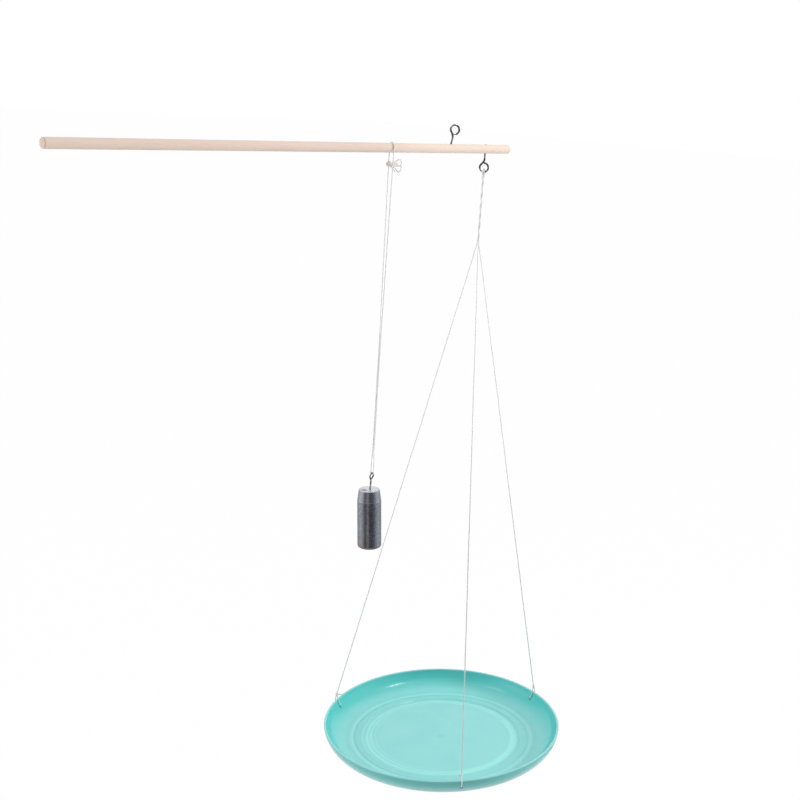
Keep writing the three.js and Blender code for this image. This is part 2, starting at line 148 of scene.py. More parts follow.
def skin(points, **values):
    # a closed skin over a grid: quads between rows, and a fan over each end row
    rows, columns = points.shape[:2]
    index = np.arange(rows * columns).reshape(rows, columns)
    after = np.roll(index, -1, axis=1)
    quads = np.stack([index[:-1], after[:-1], after[1:], index[1:]], axis=-1)
    first, last = np.full(columns, rows * columns), np.full(columns, rows * columns + 1)
    fans = np.vstack([
        np.stack([after[0], index[0], first], axis=-1),
        np.stack([index[-1], after[-1], last], axis=-1),
    ])
    middles = np.stack([points[0].mean(0), points[-1].mean(0)])
    return {
        "points": np.vstack([points.reshape(-1, 3), middles]),
        "quads": quads.reshape(-1, 4),
        "fans": fans,
        "values": {
            key: np.concatenate([grid.ravel(), [grid[0].mean(), grid[-1].mean()]])
            for key, grid in values.items()
        },
    }


def outward(shell):
    # faces turned round if the volume that they enclose comes out negative
    p = shell["points"]
    triangles = np.vstack([shell["quads"][:, :3], shell["quads"][:, [0, 2, 3]], shell["fans"]])
    a, b, c = (p[triangles[:, k]] for k in range(3))
    if (a * np.cross(b, c)).sum() < 0:
        shell["quads"], shell["fans"] = shell["quads"][:, ::-1], shell["fans"][:, ::-1]
    return shell


def makePiece(name, shells, finish, body, nodes, place=None, sharp=40):
    # one object from its shells, with its own coordinates in mm kept as the attribute "own"
    shells = [outward(shell) for shell in shells]
    offsets = np.cumsum([0] + [len(shell["points"]) for shell in shells])
    own = np.vstack([shell["points"] for shell in shells])
    points = own if place is None else placed(own, place)
    quads = np.vstack([s["quads"] + o for s, o in zip(shells, offsets)])
    fans = np.vstack([s["fans"] + o for s, o in zip(shells, offsets)])
    starts = np.concatenate([
        np.arange(len(quads)) * 4,
        len(quads) * 4 + np.arange(len(fans)) * 3,
    ])
    mesh = bpy.data.meshes.new(name)
    mesh.vertices.add(len(points))
    mesh.vertices.foreach_set("co", (points * mm).astype(np.float32).ravel())
    corners = np.concatenate([quads.ravel(), fans.ravel()])
    mesh.loops.add(len(corners))
    mesh.loops.foreach_set("vertex_index", corners.astype(np.int32))
    mesh.polygons.add(len(starts))
    mesh.polygons.foreach_set("loop_start", starts.astype(np.int32))
    mesh.update(calc_edges=True)
    mesh.polygons.foreach_set("use_smooth", np.ones(len(starts), bool))
    mesh.set_sharp_from_angle(angle=math.radians(sharp))
    attribute = mesh.attributes.new("own", "FLOAT_VECTOR", "POINT")
    if all("own" in shell for shell in shells):
        own = np.vstack([shell["own"] for shell in shells])
    attribute.data.foreach_set("vector", own.astype(np.float32).ravel())
    for key in shells[0]["values"]:
        attribute = mesh.attributes.new(key, "FLOAT", "POINT")
        kept = np.concatenate([shell["values"][key] for shell in shells])
        attribute.data.foreach_set("value", kept.astype(np.float32))
    piece = bpy.data.objects.new(name, mesh)
    bpy.context.scene.collection.objects.link(piece)
    mesh.materials.append(finish["material"])
    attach(piece, body)
    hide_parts(*nodes)
    return piece


class Value:
    # a shader socket that takes part in Python arithmetic; each operator adds a Math node
    def __init__(self, tree, socket):
        self.tree = tree
        self.socket = socket

    def maths(self, operation, *terms):
        inputs = dict(enumerate(terms))
        return self.tree.node("ShaderNodeMath", {"operation": operation}, inputs)

    def __add__(self, other):
        return self.maths("ADD", self, other)

    def __sub__(self, other):
        return self.maths("SUBTRACT", self, other)

    def __rsub__(self, other):
        return self.maths("SUBTRACT", other, self)

    def __mul__(self, other):
        return self.maths("MULTIPLY", self, other)

    def between(self, low, high):
        # 0 at low and 1 at high, eased
        settings = {"interpolation_type": "SMOOTHSTEP"}
        inputs = {"Value": self, "From Min": low, "From Max": high}
        return self.tree.node("ShaderNodeMapRange", settings, inputs)


class Shading:
    # the nodes of one material, or of the world
    def __init__(self, owner):
        owner.use_nodes = True
        self.owner = owner
        self.nodes = owner.node_tree.nodes
        self.links = owner.node_tree.links
        self.nodes.clear()

    def node(self, kind, settings=None, inputs=None, output=0):
        # a new node with its settings, then the values or links of its sockets
        made = self.nodes.new(kind)
        for key, value in (settings or {}).items():
            setattr(made, key, value)
        for key, value in (inputs or {}).items():
            if isinstance(value, Value):
                self.links.new(value.socket, made.inputs[key])
            else:
                made.inputs[key].default_value = value
        return Value(self, made.outputs[output]) if made.outputs else None

    def attribute(self, name, output="Fac"):
        # a value that the mesh carries under this name
        return self.node("ShaderNodeAttribute", {"attribute_name": name}, output=output)

    def own(self):
        # the piece's own coordinates, in mm
        return self.attribute("own", "Vector")

    def scaled(self, vector, factors):
        # each part of the vector times its own factor
        settings = {"operation": "MULTIPLY"}
        return self.node("ShaderNodeVectorMath", settings, {0: vector, 1: factors})

    def moved(self, vector, by):
        return self.node("ShaderNodeVectorMath", {"operation": "ADD"}, {0: vector, 1: by})

    def length(self, vector):
        settings = {"operation": "LENGTH"}
        return self.node("ShaderNodeVectorMath", settings, {0: vector}, "Value")

    def part(self, vector, axis):
        return self.node("ShaderNodeSeparateXYZ", None, {0: vector}, axis)

    def noise(self, vector, scale, detail, roughness):
        inputs = {"Vector": vector, "Scale": scale, "Detail": detail, "Roughness": roughness}
        return self.node("ShaderNodeTexNoise", None, inputs)

    def stretched(self, vector, texture):
        # noise whose fineness is its own along each axis
        factors, detail, roughness = texture
        return self.noise(self.scaled(vector, factors), 1.0, detail, roughness)

    def mix(self, low, high, share):
        # one colour turned into another by a share
        inputs = {0: share, 6: low, 7: high}
        return self.node("ShaderNodeMix", {"data_type": "RGBA"}, inputs, 2)

    def surface(self, inputs, height, distance):
        # the usual surface shader, with bumps of this height and reach in metres
        bump = {"Height": height, "Distance": distance, "Strength": 1.0}
        inputs = {**inputs, "Normal": self.node("ShaderNodeBump", None, bump)}
        return self.output(self.node("ShaderNodeBsdfPrincipled", None, inputs))

    def output(self, shader, kind="ShaderNodeOutputMaterial"):
        # the shader given to the owner, which comes back finished
        self.node(kind, None, {"Surface": shader})
        return self.owner


def newShading(name):
    # the empty nodes of a new material
    return Shading(bpy.data.materials.new(name))


def colour(red, green, blue):
    # an opaque colour, in linear light
    return (red, green, blue, 1.0)


def ringMask(radius, rise, fall):
    # 1 between two circles and 0 past them, eased from radius to radius over each edge
    return radius.between(*rise) * (1 - radius.between(*fall))


woodLook = {
    "early": colour(0.835, 0.675, 0.58),
    "late": colour(0.74, 0.575, 0.475),
    "pale": colour(0.93, 0.79, 0.675),
    "pore": colour(0.60, 0.43, 0.32),
    "bored": colour(0.50, 0.36, 0.25),
    "ringWidth": 1.15,
    "pith": (0.0, 9.0, 14.0),
    "warp": 2.6,
    "paleRange": (-118.0, -55.0),  # along the beam, from its short end
    # each noise's fineness along the three axes, its detail and its roughness
    "warpNoise": ((0.012, 0.16, 0.16), 2.0, 0.5),
    "fibreNoise": ((0.05, 2.4, 2.4), 5.0, 0.6),
    "poreNoise": ((0.22, 5.5, 5.5), 2.0, 0.5),
    "blotchNoise": ((0.02, 0.3, 0.3), 2.0, 0.5),
    "fibreLevels": (0.3, 0.8),
    "poreLevels": (0.66, 0.74),
    "blotchLevels": (0.35, 0.75),
    "lateShares": (0.2, 0.24, 0.14),  # of ring, fibre and blotch
    "paleShare": 0.62,
    "poreShare": 0.16,
    "boredShare": 0.8,
    "relief": (0.7, 0.6, 0.15),  # of fibre, pore and ring
    "bump": 0.00003,
    "rough": 0.52,
    "fibreRough": 0.16,
}


def woodFinish():
    # year rings round a pith beside the dowel, long fibres, and short dark pores, in three
    # dimensions, so the ends show the same tree as the sides
    look, s = woodLook, newShading("beamWood")
    own = s.own()
    warp = s.stretched(own, look["warpNoise"]) * look["warp"]
    away = s.length(s.scaled(s.moved(own, look["pith"]), (0.0, 1.0, 1.0)))
    turns = (away + warp) * (fullTurn / look["ringWidth"])
    ring = turns.maths("SINE", turns) * 0.5 + 0.5
    fibre = s.stretched(own, look["fibreNoise"])
    pore = s.stretched(own, look["poreNoise"]).between(*look["poreLevels"])
    blotch = s.stretched(own, look["blotchNoise"])
    bored = s.attribute("bored")
    ringShare, fibreShare, blotchShare = look["lateShares"]
    late = ring * ringShare + fibre.between(*look["fibreLevels"]) * fibreShare
    late = late + blotch.between(*look["blotchLevels"]) * blotchShare
    base = s.mix(look["early"], look["late"], late)
    paler = s.part(own, "X").between(*look["paleRange"])
    base = s.mix(base, look["pale"], paler * look["paleShare"])
    base = s.mix(base, look["pore"], pore * look["poreShare"])
    base = s.mix(base, look["bored"], bored * look["boredShare"])
    fibreRelief, poreRelief, ringRelief = look["relief"]
    height = fibre * fibreRelief - pore * poreRelief + ring * ringRelief
    rough = fibre * look["fibreRough"] + look["rough"]
    inputs = {"Base Color": base, "Roughness": rough, "Metallic": 0.0}
    return {"material": s.surface(inputs, height, look["bump"]), "slot": "wood"}


cordLook = {
    "crown": colour(0.95, 0.945, 0.95),
    # painted shade between the plies
    "groove": colour(0.58, 0.575, 0.58),
    "fibreNoise": (9.0, 3.0, 0.6),  # scale, detail and roughness, as is the next
    "patchNoise": (0.35, 2.0, 0.5),
    "fibreLevels": (0.4, 0.75),
    "patchLevels": (0.45, 0.75),
    "greyShares": (0.5, 0.16, 0.1),  # of groove, fibre and patch
    "grey": 0.26,
    "paleShare": 0.72,
    "grooveRelief": 0.3,
    "bump": 0.00004,
    "rough": 0.82,
    "fibreRough": 0.1,
    "sheen": 0.25,
}


def cordFinish():
    # bleached cotton: grey on the long runs, pale where it is laid up or tied, with painted
    # shade in the grooves between its plies, and fine fibres
    look, s = cordLook, newShading("cottonCord")
    own = s.own()
    groove = s.attribute("groove")
    fibre = s.noise(own, *look["fibreNoise"])
    patch = s.noise(own, *look["patchNoise"])
    grooveShare, fibreShare, patchShare = look["greyShares"]
    grey = groove * grooveShare + fibre.between(*look["fibreLevels"]) * fibreShare
    grey = grey + patch.between(*look["patchLevels"]) * patchShare
    grey = (grey + look["grey"]) * (1 - s.attribute("pale") * look["paleShare"])
    base = s.mix(look["crown"], look["groove"], grey)
    height = fibre - groove * look["grooveRelief"]
    inputs = {
        "Base Color": base,
        "Roughness": fibre * look["fibreRough"] + look["rough"],
        "Metallic": 0.0,
        "Sheen Weight": look["sheen"],
    }
    return {"material": s.surface(inputs, height, look["bump"]), "slot": "cotton_cord"}


platedLook = {
    "bright": colour(0.66, 0.66, 0.67),
    # near black: partly dullness, partly painted dark reflection
    "dullAndDarkReflection": colour(0.060, 0.058, 0.057),
    "root": colour(0.05, 0.047, 0.045),
    "dullNoise": (0.42, 3.0, 0.55),
    "dullLevels": (0.40, 0.56),
    "dullShare": 0.94,
    "speckNoise": (6.0, 3.0, 0.5),
    "rough": 0.12,
    "roughShares": (0.18, 0.08, 0.3),  # of dull, speck and groove
    "bump": 0.000008,
}


def platedFinish():
    # bright plated wire, near black in patches of dullness and painted dark reflection, its
    # thread's roots painted shade
    look, s = platedLook, newShading("platedWire")
    own = s.own()
    dullAndDarkReflection = s.noise(own, *look["dullNoise"]).between(*look["dullLevels"])
    speck = s.noise(own, *look["speckNoise"])
    groove = s.attribute("groove")
    base = s.mix(look["bright"], look["dullAndDarkReflection"], dullAndDarkReflection * look["dullShare"])
    # painted shade in the roots of the thread
    base = s.mix(base, look["root"], groove)
    dullRough, speckRough, grooveRough = look["roughShares"]
    rough = dullAndDarkReflection * dullRough + speck * speckRough + groove * grooveRough + look["rough"]
    inputs = {"Base Color": base, "Roughness": rough, "Metallic": 1.0}
    return {"material": s.surface(inputs, speck, look["bump"]), "slot": "plated_wire"}


steelLook = {
    "light": colour(0.385, 0.415, 0.475),
    "dark": colour(0.175, 0.19, 0.225),
    "brown": colour(0.26, 0.20, 0.18),
    "footDark": colour(0.05, 0.05, 0.055),
    "turned": colour(0.60, 0.63, 0.70),
    "faced": colour(0.80, 0.81, 0.84),
    "smudge": colour(0.16, 0.165, 0.18),
    "grainNoise": ((1.5, 1.5, 0.9), 6.0, 0.68),
    "stainNoise": ((0.22, 0.22, 0.1), 3.0, 0.5),
    "scratchNoise": ((2.6, 2.6, 0.22), 4.0, 0.7),
    "patchNoise": (0.9, 3.0, 0.5),
    "grainLevels": (0.30, 0.68),
    "stainLevels": (0.5, 0.68),
    "patchLevels": (0.3, 0.75),
    "topLevels": (-0.32, -0.06),
    "turnedLevels": (-6.5, -6.1),
    "footLevels": (-33.9, -32.0),
    "brownShare": 0.45,
    "wornShare": 0.7,
    "footDarkShare": 0.95,
    "turnedShares": (0.55, 0.06),  # by the grain, and everywhere
    "cloudShares": (0.45, 0.3),  # of patches, and near the rim
    "rimCloud": (4.3, 5.2),
    "smudgePlace": (3.2, -0.7, 0.0),
    "smudgeShape": (1.0, 0.75, 0.0),
    "smudgeReach": (1.9, 3.4),
    "smudgeFray": 2.4,
    "smudgeShare": 0.95,
    "toolPitch": 0.34,
    "toolShare": 0.25,
    "rough": 0.14,
    "roughShares": (0.16, 0.10, 0.16, 0.3),  # of grain, scratch, top and foot
    "relief": (0.8, 0.5, 0.35),  # of grain, scratch and tool
    "footDull": 0.8,
    "bump": 0.000008,
}


def steelFinish():
    # tumbled steel: dark and light grains, brown stains, brighter worn edges, and a faced top
    # with fine tool rings
    look, s = steelLook, newShading("weightSteel")
    own = s.own()
    level = s.part(own, "Z")
    radius = s.length(s.scaled(own, (1.0, 1.0, 0.0)))
    grain = s.stretched(own, look["grainNoise"])
    stain = s.stretched(own, look["stainNoise"])
    scratch = s.stretched(own, look["scratchNoise"])
    top = level.between(*look["topLevels"])
    worn = s.attribute("edge")
    base = s.mix(look["dark"], look["light"], grain.between(*look["grainLevels"]))
    base = s.mix(base, look["brown"], stain.between(*look["stainLevels"]) * look["brownShare"])
    base = s.mix(base, look["light"], worn * look["wornShare"])
    # darker and less metallic towards the bottom
    foot = 1 - level.between(*look["footLevels"])
    base = s.mix(base, look["footDark"], foot * look["footDarkShare"])
    turnedPart = level.between(*look["turnedLevels"])
    byGrain, everywhere = look["turnedShares"]
    base = s.mix(base, look["turned"], turnedPart * (grain * byGrain + everywhere))
    away = s.length(s.scaled(s.moved(own, look["smudgePlace"]), look["smudgeShape"]))
    patchy = s.noise(own, *look["patchNoise"])
    smudge = 1 - (away + patchy * look["smudgeFray"]).between(*look["smudgeReach"])
    patchShare, rimShare = look["cloudShares"]
    cloud = patchy.between(*look["patchLevels"]) * patchShare
    cloud = cloud + radius.between(*look["rimCloud"]) * rimShare
    faced = s.mix(look["faced"], look["light"], cloud)
    faced = s.mix(faced, look["smudge"], smudge * look["smudgeShare"])
    base = s.mix(base, faced, top)
    rings = radius * (fullTurn / look["toolPitch"])
    tool = rings.maths("SINE", rings) * top
    base = s.mix(base, look["turned"], (tool * 0.5 + 0.5) * top * look["toolShare"])
    grainRough, scratchRough, topRough, footRough = look["roughShares"]
    rough = grain * grainRough + scratch * scratchRough + look["rough"] + top * topRough
    grainRelief, scratchRelief, toolRelief = look["relief"]
    height = grain * grainRelief + scratch * scratchRelief + tool * toolRelief
    inputs = {
        "Base Color": base,
        "Roughness": rough + foot * footRough,
        "Metallic": 1 - foot * look["footDull"],
    }
    return {"material": s.surface(inputs, height, look["bump"]), "slot": "steel"}


dishLook = {
    # the plastic's teal, darker from the floor through the foot to the wall: painted shade
    "wall": colour(0.10, 0.60, 0.575),
    "foot": colour(0.242, 0.728, 0.713),
    "floor": colour(0.275, 0.735, 0.72),
    # a lighter ring on the floor: painted highlight
    "paintedHighlightBand": colour(0.37, 0.90, 0.85),
    # painted shade on the outer wall, and a paler painted reflection low on it and underneath
    "outside": colour(0.12, 0.47, 0.45),
    "under": colour(0.28, 0.61, 0.60),
    "scuff": colour(0.42, 0.76, 0.76),
    "shade": colour(0.10, 0.50, 0.48),
    "gateRadii": (1.2, 3.4),
    "footShadeRadii": (48.0, 63.0),
    "wallShadeRadii": (61.0, 71.5),
    # circles over which a ring of colour fades in, then out
    # a painted highlight ring on the floor, and a painted glint at the wall's foot
    "paintedHighlightRing": ((43.0, 44.8), (46.6, 48.6)),
    # a darker ring on the floor: painted shade
    "shadeLineRing": ((48.2, 50.0), (51.0, 54.0)),
    "paintedGlintRing": ((55.2, 56.6), (57.2, 59.0)),
    "outerSheenLevels": (-8.0, -1.5),
    "flowNoise": ((0.05, 0.05, 0.2), 3.0, 0.5),
    "scuffNoise": ((0.5, 3.0, 1.0), 4.0, 0.7),
    "peelNoise": (1.6, 2.0, 0.5),
    "flowLevels": (0.4, 0.75),
    "scuffLevels": (0.62, 0.8),
    "paintedHighlightShare": 0.7,
    "paintedGlintShare": 0.5,
    "shadeLineShare": 0.08,
    "outerShadeAndSheenShare": 0.85,
    "flowShare": 0.14,
    "gateShare": 0.22,
    "scuffShare": 0.10,
    # the rim's pale line: painted sheen
    "wornShare": 0.75,
    "rough": 0.15,
    "roughShares": (0.06, 0.10, 0.04),  # of flow, scuff and peel
    "index": 1.5,
    "bump": 0.000012,
}


def dishFinish():
    # semi-gloss moulded plastic: paler on its floor than up the wall, where painted shade darkens
    # it, faint flow streaks from the gate, fine scuffs, and a moulder's texture too fine to see as
    # bumps
    look, s = dishLook, newShading("dishPlastic")
    own = s.own()
    radius = s.length(s.scaled(own, (1.0, 1.0, 0.0)))
    flow = s.stretched(own, look["flowNoise"])
    peel = s.noise(own, *look["peelNoise"])
    scuff = s.stretched(own, look["scuffNoise"]).between(*look["scuffLevels"])
    worn = s.attribute("edge")
    gate = 1 - radius.between(*look["gateRadii"])
    # painted shade: darker from the floor through the foot up the wall
    base = s.mix(look["floor"], look["foot"], radius.between(*look["footShadeRadii"]))
    base = s.mix(base, look["wall"], radius.between(*look["wallShadeRadii"]))
    # painted highlight and glint: lighter rings where light catches the floor's slopes and the
    # wall's foot
    paintedHighlightBand = ringMask(radius, *look["paintedHighlightRing"])
    # painted shade: a darker ring on the floor
    line = ringMask(radius, *look["shadeLineRing"])
    paintedGlint = ringMask(radius, *look["paintedGlintRing"])
    base = s.mix(base, look["paintedHighlightBand"], paintedHighlightBand * look["paintedHighlightShare"] + paintedGlint * look["paintedGlintShare"])
    base = s.mix(base, look["shade"], line * look["shadeLineShare"])
    # outside: painted shade high on the outer wall, and a paler painted reflection low on it and
    # under the dish
    higher = s.part(own, "Z").between(*look["outerSheenLevels"])
    outside = s.mix(look["under"], look["outside"], higher)
    base = s.mix(base, outside, s.attribute("outer") * look["outerShadeAndSheenShare"])
    streaks = flow.between(*look["flowLevels"]) * look["flowShare"] + gate * look["gateShare"]
    base = s.mix(base, look["wall"], streaks)
    # the scuff colour makes real scuffs, and the rim's pale line, which is painted sheen
    base = s.mix(base, look["scuff"], scuff * look["scuffShare"] + worn * look["wornShare"])
    flowRough, scuffRough, peelRough = look["roughShares"]
    rough = flow * flowRough + scuff * scuffRough + peel * peelRough + look["rough"]
    inputs = {"Base Color": base, "Roughness": rough, "Metallic": 0.0, "IOR": look["index"]}
    return {"material": s.surface(inputs, peel, look["bump"]), "slot": "dish_plastic"}


wood, cotton, plated = woodFinish(), cordFinish(), platedFinish()
steel, plastic = steelFinish(), dishFinish()
print("finishes made")


# Where the picture is taken from, with its turns in radians
view = {
    "place": (-535.71, -480.11, 22.9),
    "yaw": 0.8116,
    "pitch": 0.2421,
    "roll": 0.0651,
    "lens": 57.65,
    "sensor": 36,
    "nearest": 10,
}


def setCamera():
    # three axes from the yaw and pitch, turned about the line of sight by the roll
    yaw, pitch, roll = view["yaw"], view["pitch"], view["roll"]
    level = math.cos(pitch)
    ahead = np.array([math.sin(yaw) * level, math.cos(yaw) * level, -math.sin(pitch)])
    right = np.array([math.cos(yaw), -math.sin(yaw), 0.0])
    up = np.cross(right, ahead)
    axes = np.stack([
        math.cos(roll) * right + math.sin(roll) * up,
        -math.sin(roll) * right + math.cos(roll) * up,
        -ahead,
    ], axis=1)
    data = bpy.data.cameras.new("viewpoint")
    data.sensor_width = view["sensor"]
    data.lens = view["lens"]
    data.clip_start = view["nearest"] * mm
    camera = bpy.data.objects.new("viewpoint", data)
    place = [x * mm for x in view["place"]]
    camera.matrix_world = Matrix.Translation(place) @ Matrix(axes.tolist()).to_4x4()
    bpy.context.scene.collection.objects.link(camera)
    bpy.context.scene.camera = camera


setCamera()
print("camera set")


# Three-ply cotton cord, the same in every place
cordSize = {
    "diameter": 0.65,
    "plies": 3,
    "layLength": 1.6,  # one full turn of the plies
    "grooveShare": 0.12,
    "slubShare": 0.03,
    "slubWaves": (1.7, 0.43),  # radians for each mm along
    "sides": 15,
    "ringStep": 0.11,
    "curveStep": 0.1,
    "sharp": 70,
    "knotGap": 0.3,  # from a knot's round to where what leaves it starts
}
cordRadius = cordSize["diameter"] / 2
skewWay = np.array([0.31, 0.9, 0.1])  # no straight cord runs this way


def cordSkin(path, reference, radius=cordRadius, deepen=cordSize["grooveShare"]):
    # a swept tube whose radius dips between the plies: r * (1 - g * (1 - |cos(n a / 2)|)),
    # where a is the angle round less the twist so far
    along = lengthsAlong(path)
    angle = np.linspace(0, fullTurn, cordSize["sides"], endpoint=False)
    twist = fullTurn * along[:, None] / cordSize["layLength"]
    groove = 1 - np.abs(np.cos(cordSize["plies"] * (angle[None] - twist) / 2))
    first, second = cordSize["slubWaves"]
    slub = 1 + cordSize["slubShare"] * np.sin(along * first) * np.sin(along * second + 1)
    radius = np.broadcast_to(radius, len(path))[:, None] * slub[:, None]
    depth = np.broadcast_to(deepen, len(path))[:, None]
    return swept(path, reference, radius * (1 - depth * groove), cordSize["sides"]), groove


def cordShell(points, groove, pale=0.0):
    # a cord's skin that knows how deep in a groove and how pale each place is
    return skin(points, groove=groove, pale=np.broadcast_to(pale, groove.shape))


def cordRun(path, reference, pale=0.0):
    # the skin of a cord along any path, its rings one step apart
    return cordShell(*cordSkin(evenly(path, cordSize["ringStep"]), reference), pale)


def cordPiece(name, shells, body, nodes, place=None):
    # an object of cotton from the skins of its cords
    return makePiece(name, shells, cotton, body, nodes, place, cordSize["sharp"])


wanderShape = {
    "places": 400,
    "waves": ((23, 41), (19, 37)),  # radians over the whole run: slow and quick, in two planes
    "quickShare": 0.6,
    "fadeSlope": 12,
}


def straightPath(start, end, wander, seed):
    # a straight run with a slow wander of two sines that dies out at both ends
    share = np.linspace(0, 1, wanderShape["places"])[:, None]
    path = start + (end - start) * share
    side, up = frameAlong(path, skewWay)
    phases = np.random.default_rng(seed).uniform(0, fullTurn, (2, 2))
    sway, lift = (
        np.sin(share * slow + a) + wanderShape["quickShare"] * np.sin(share * quick + b)
        for (slow, quick), (a, b) in zip(wanderShape["waves"], phases)
    )
    fade = np.minimum(1, np.minimum(share, 1 - share) * wanderShape["fadeSlope"])
    return path + wander * fade * (sway * side + lift * up)


knotShape = {
    "places": 420,
    "cordShare": 0.94,
    "ringShares": (0.62, 0.38),  # of the reach: the curve's middle, and its swing about that
    "coreShares": (0.72, 0.72, 0.8),
    "coreColumns": 24,
    "coreRows": 14,
    "coreEnd": 1.5,  # radians from the core's waist to its end rows
    # the core's grey is painted shade inside the knot
    "coreShade": 0.5,
    "wrapShare": 0.93,
    "wrapFrom": 1.3,  # the radius past which a knot is wrapped twice more
}


def knotShells(centre, radius, halfHeight, turnDegrees=0.0, pale=0.0):
    # an overhand knot: the curve that goes twice round and three times through a ring,
    # pulled tight over a small core; a big knot is wrapped again, square to the first time
    cord = cordRadius * knotShape["cordShare"]
    middle, swing = knotShape["ringShares"]
    t = np.linspace(0, fullTurn, knotShape["places"])[:, None]
    flat = np.concatenate([np.cos(2 * t), np.sin(2 * t), 0 * t], axis=1)
    lift = upward[None]
    path = flat * (radius - cord) * (middle + swing * np.cos(3 * t))
    path = path + lift * (halfHeight - cord) * np.sin(3 * t)
    reference = flat * np.cos(3 * t) + lift * np.sin(3 * t)
    points, groove = cordSkin(path, reference, cord)
    angle = np.linspace(0, fullTurn, knotShape["coreColumns"], endpoint=False)[None]
    rise = np.linspace(-knotShape["coreEnd"], knotShape["coreEnd"], knotShape["coreRows"])[:, None]
    ball = np.stack([
        np.cos(rise) * np.cos(angle),
        np.cos(rise) * np.sin(angle),
        np.sin(rise) * np.ones_like(angle),
    ], axis=-1) * (np.array(knotShape["coreShares"]) * np.array([radius, radius, halfHeight]))
    place = moved(*centre) @ turned(turnDegrees, (0, 0, 1))
    shells = [
        cordShell(placed(points, place), groove, pale),
        cordShell(placed(ball, place), np.full(ball.shape[:2], knotShape["coreShade"]), pale),
    ]
    if radius > knotShape["wrapFrom"]:
        for axis in ((1, 0, 0), (0, 1, 0)):
            wrap = placed(points * knotShape["wrapShare"], place @ turned(90, axis))
            shells.append(cordShell(wrap, groove, pale))
    return shells


def knotPiece(name, centre, radius, halfHeight, body, nodes, turnDegrees=0.0, place=None,
              pale=0.0):
    # one knot as an object
    shells = knotShells(centre, radius, halfHeight, turnDegrees, pale)
    return cordPiece(name, shells, body, nodes, place)


tailShape = {
    "places": 60,
    "step": 0.08,
    "flareShare": 0.22,
    "flareFrom": 0.75,  # shares of the way along, as is the one for the parting plies
    "partingShare": 0.4,
    "partingFrom": 0.7,
    "aside": (0.2, 0.1, 1.0),
}


def tailPiece(name, centre, direction, length, droop, body, nodes, place=None):
    # a cut end: a short run that droops by the square of the way along, its plies parting
    share = np.linspace(0, 1, tailShape["places"])[:, None]
    path = centre + direction * length * share - np.array([0, 0, droop]) * share**2
    path = evenly(path, tailShape["step"])
    share = np.linspace(0, 1, len(path))
    flare = 1 + tailShape["flareShare"] * ease(tailShape["flareFrom"], 1, share)
    parting = tailShape["partingShare"] * ease(tailShape["partingFrom"], 1, share)
    points, groove = cordSkin(path, np.cross(direction, tailShape["aside"]), cordRadius * flare,
                              cordSize["grooveShare"] + parting)
    return cordPiece(name, [cordShell(points, groove)], body, nodes, place)


# Dish cords: a loop in the eye, three cords laid together, and one to each tie
panCords = {
    "eyeTurn": -64,
    "eyeWire": 1.1,
    "eyeRing": 2.5,
    "arches": ((-16, 0.1), (0, 0.85), (16, 0.45)),  # degrees round the ring, and slack
    "archPlaces": 13,
    "legSpread": 0.3,  # half the distance between the legs in the knot
    "legShare": 0.25,  # how much of an arch's slant is left there
    "bellySpread": 0.5,
    "bellyPerSlack": 0.6,
    "bellyShare": 0.6,
    "bellyDrop": 1.9,
    "ringKnot": 1.15,
    "gatherKnot": 0.95,
    "gatherKnotHalf": 0.7,
    "strandRadius": 0.375,  # three cords laid together touch at this distance from their middle
    "strandPlaces": 420,
    "bundleTurns": 2,
    "knotPale": 1.0,
    "paleTop": 1.2,
    "paleBundle": 1.3,
    "pale": {"left": 0.05, "right": -0.45, "front": -1.25},
    "paleFade": (0.05, 0.85),
    "startRadius": 0.5985,
    "startDrop": 1.0,
    "insideRadius": 0.3,
    "wander": 0.035,
}

dishSize = {
    "lean": 4,
    "leanDegrees": 133,  # the heading of its lowest edge
    "rimRadius": 73.95,
    "wall": 1.4,
    "depth": 11,
    "baseRadius": 60.5,
    "footRadius": 57.5,
    "shelfHeight": 0.6,
    "floorSteps": (
        # inner and outer radius, and the change of level between them on the way in; the last
        # two are the gate's low button and the dip round it
        (55.4, 56.8, -0.18), (53.9, 55.2, 0.18), (49.0, 50.4, -0.8), (44.4, 46.6, 0.4),
        (40.8, 42.4, -0.15), (1.1, 1.5, 0.16), (1.7, 3.2, -0.10),
    ),
    "underTrim": 0.05,
    "wallPulls": ((0.08, 0.62), (0.46, 1.0)),  # shares of the way inwards and down
    "wallPlaces": 1200,
    "holeRadius": 0.95,
    "holeDrop": 5,
    "ties": {"left": 111, "right": -14, "front": -128},  # headings in the dish
    "knotRise": 3.6,
    "knotRadius": 0.95,
    "tailLength": 2.2,
    "tailDroop": 0.3,
    "tails": {"left": -47, "front": 133},
    # a pale line on the rim: painted sheen
    "sheenLevel": -0.1,
    "wearWidth": 0.5,
    "wearInside": 0.4,
}


def dishPlace():
    # the dish leans about the level line square to its heading
    middle = moved(layout["panX"], 0, layout["rimZ"])
    return middle @ turned(dishSize["lean"], heading(dishSize["leanDegrees"] + 90))


def wallCurve(topRadius, topZ, footRadius, footZ):
    # a cubic Bezier in radius and height, from under the rim down to the wall's foot
    pulls = [
        (topRadius - inwards * (topRadius - footRadius), topZ - down * (topZ - footZ))
        for inwards, down in dishSize["wallPulls"]
    ]
    ends = np.array([(topRadius, topZ), *pulls, (footRadius, footZ)])
    t = np.linspace(0, 1, dishSize["wallPlaces"])[:, None]
    weights = np.concatenate([(1 - t)**3, 3 * t * (1 - t)**2, 3 * t**2 * (1 - t), t**3], axis=1)
    return weights @ ends


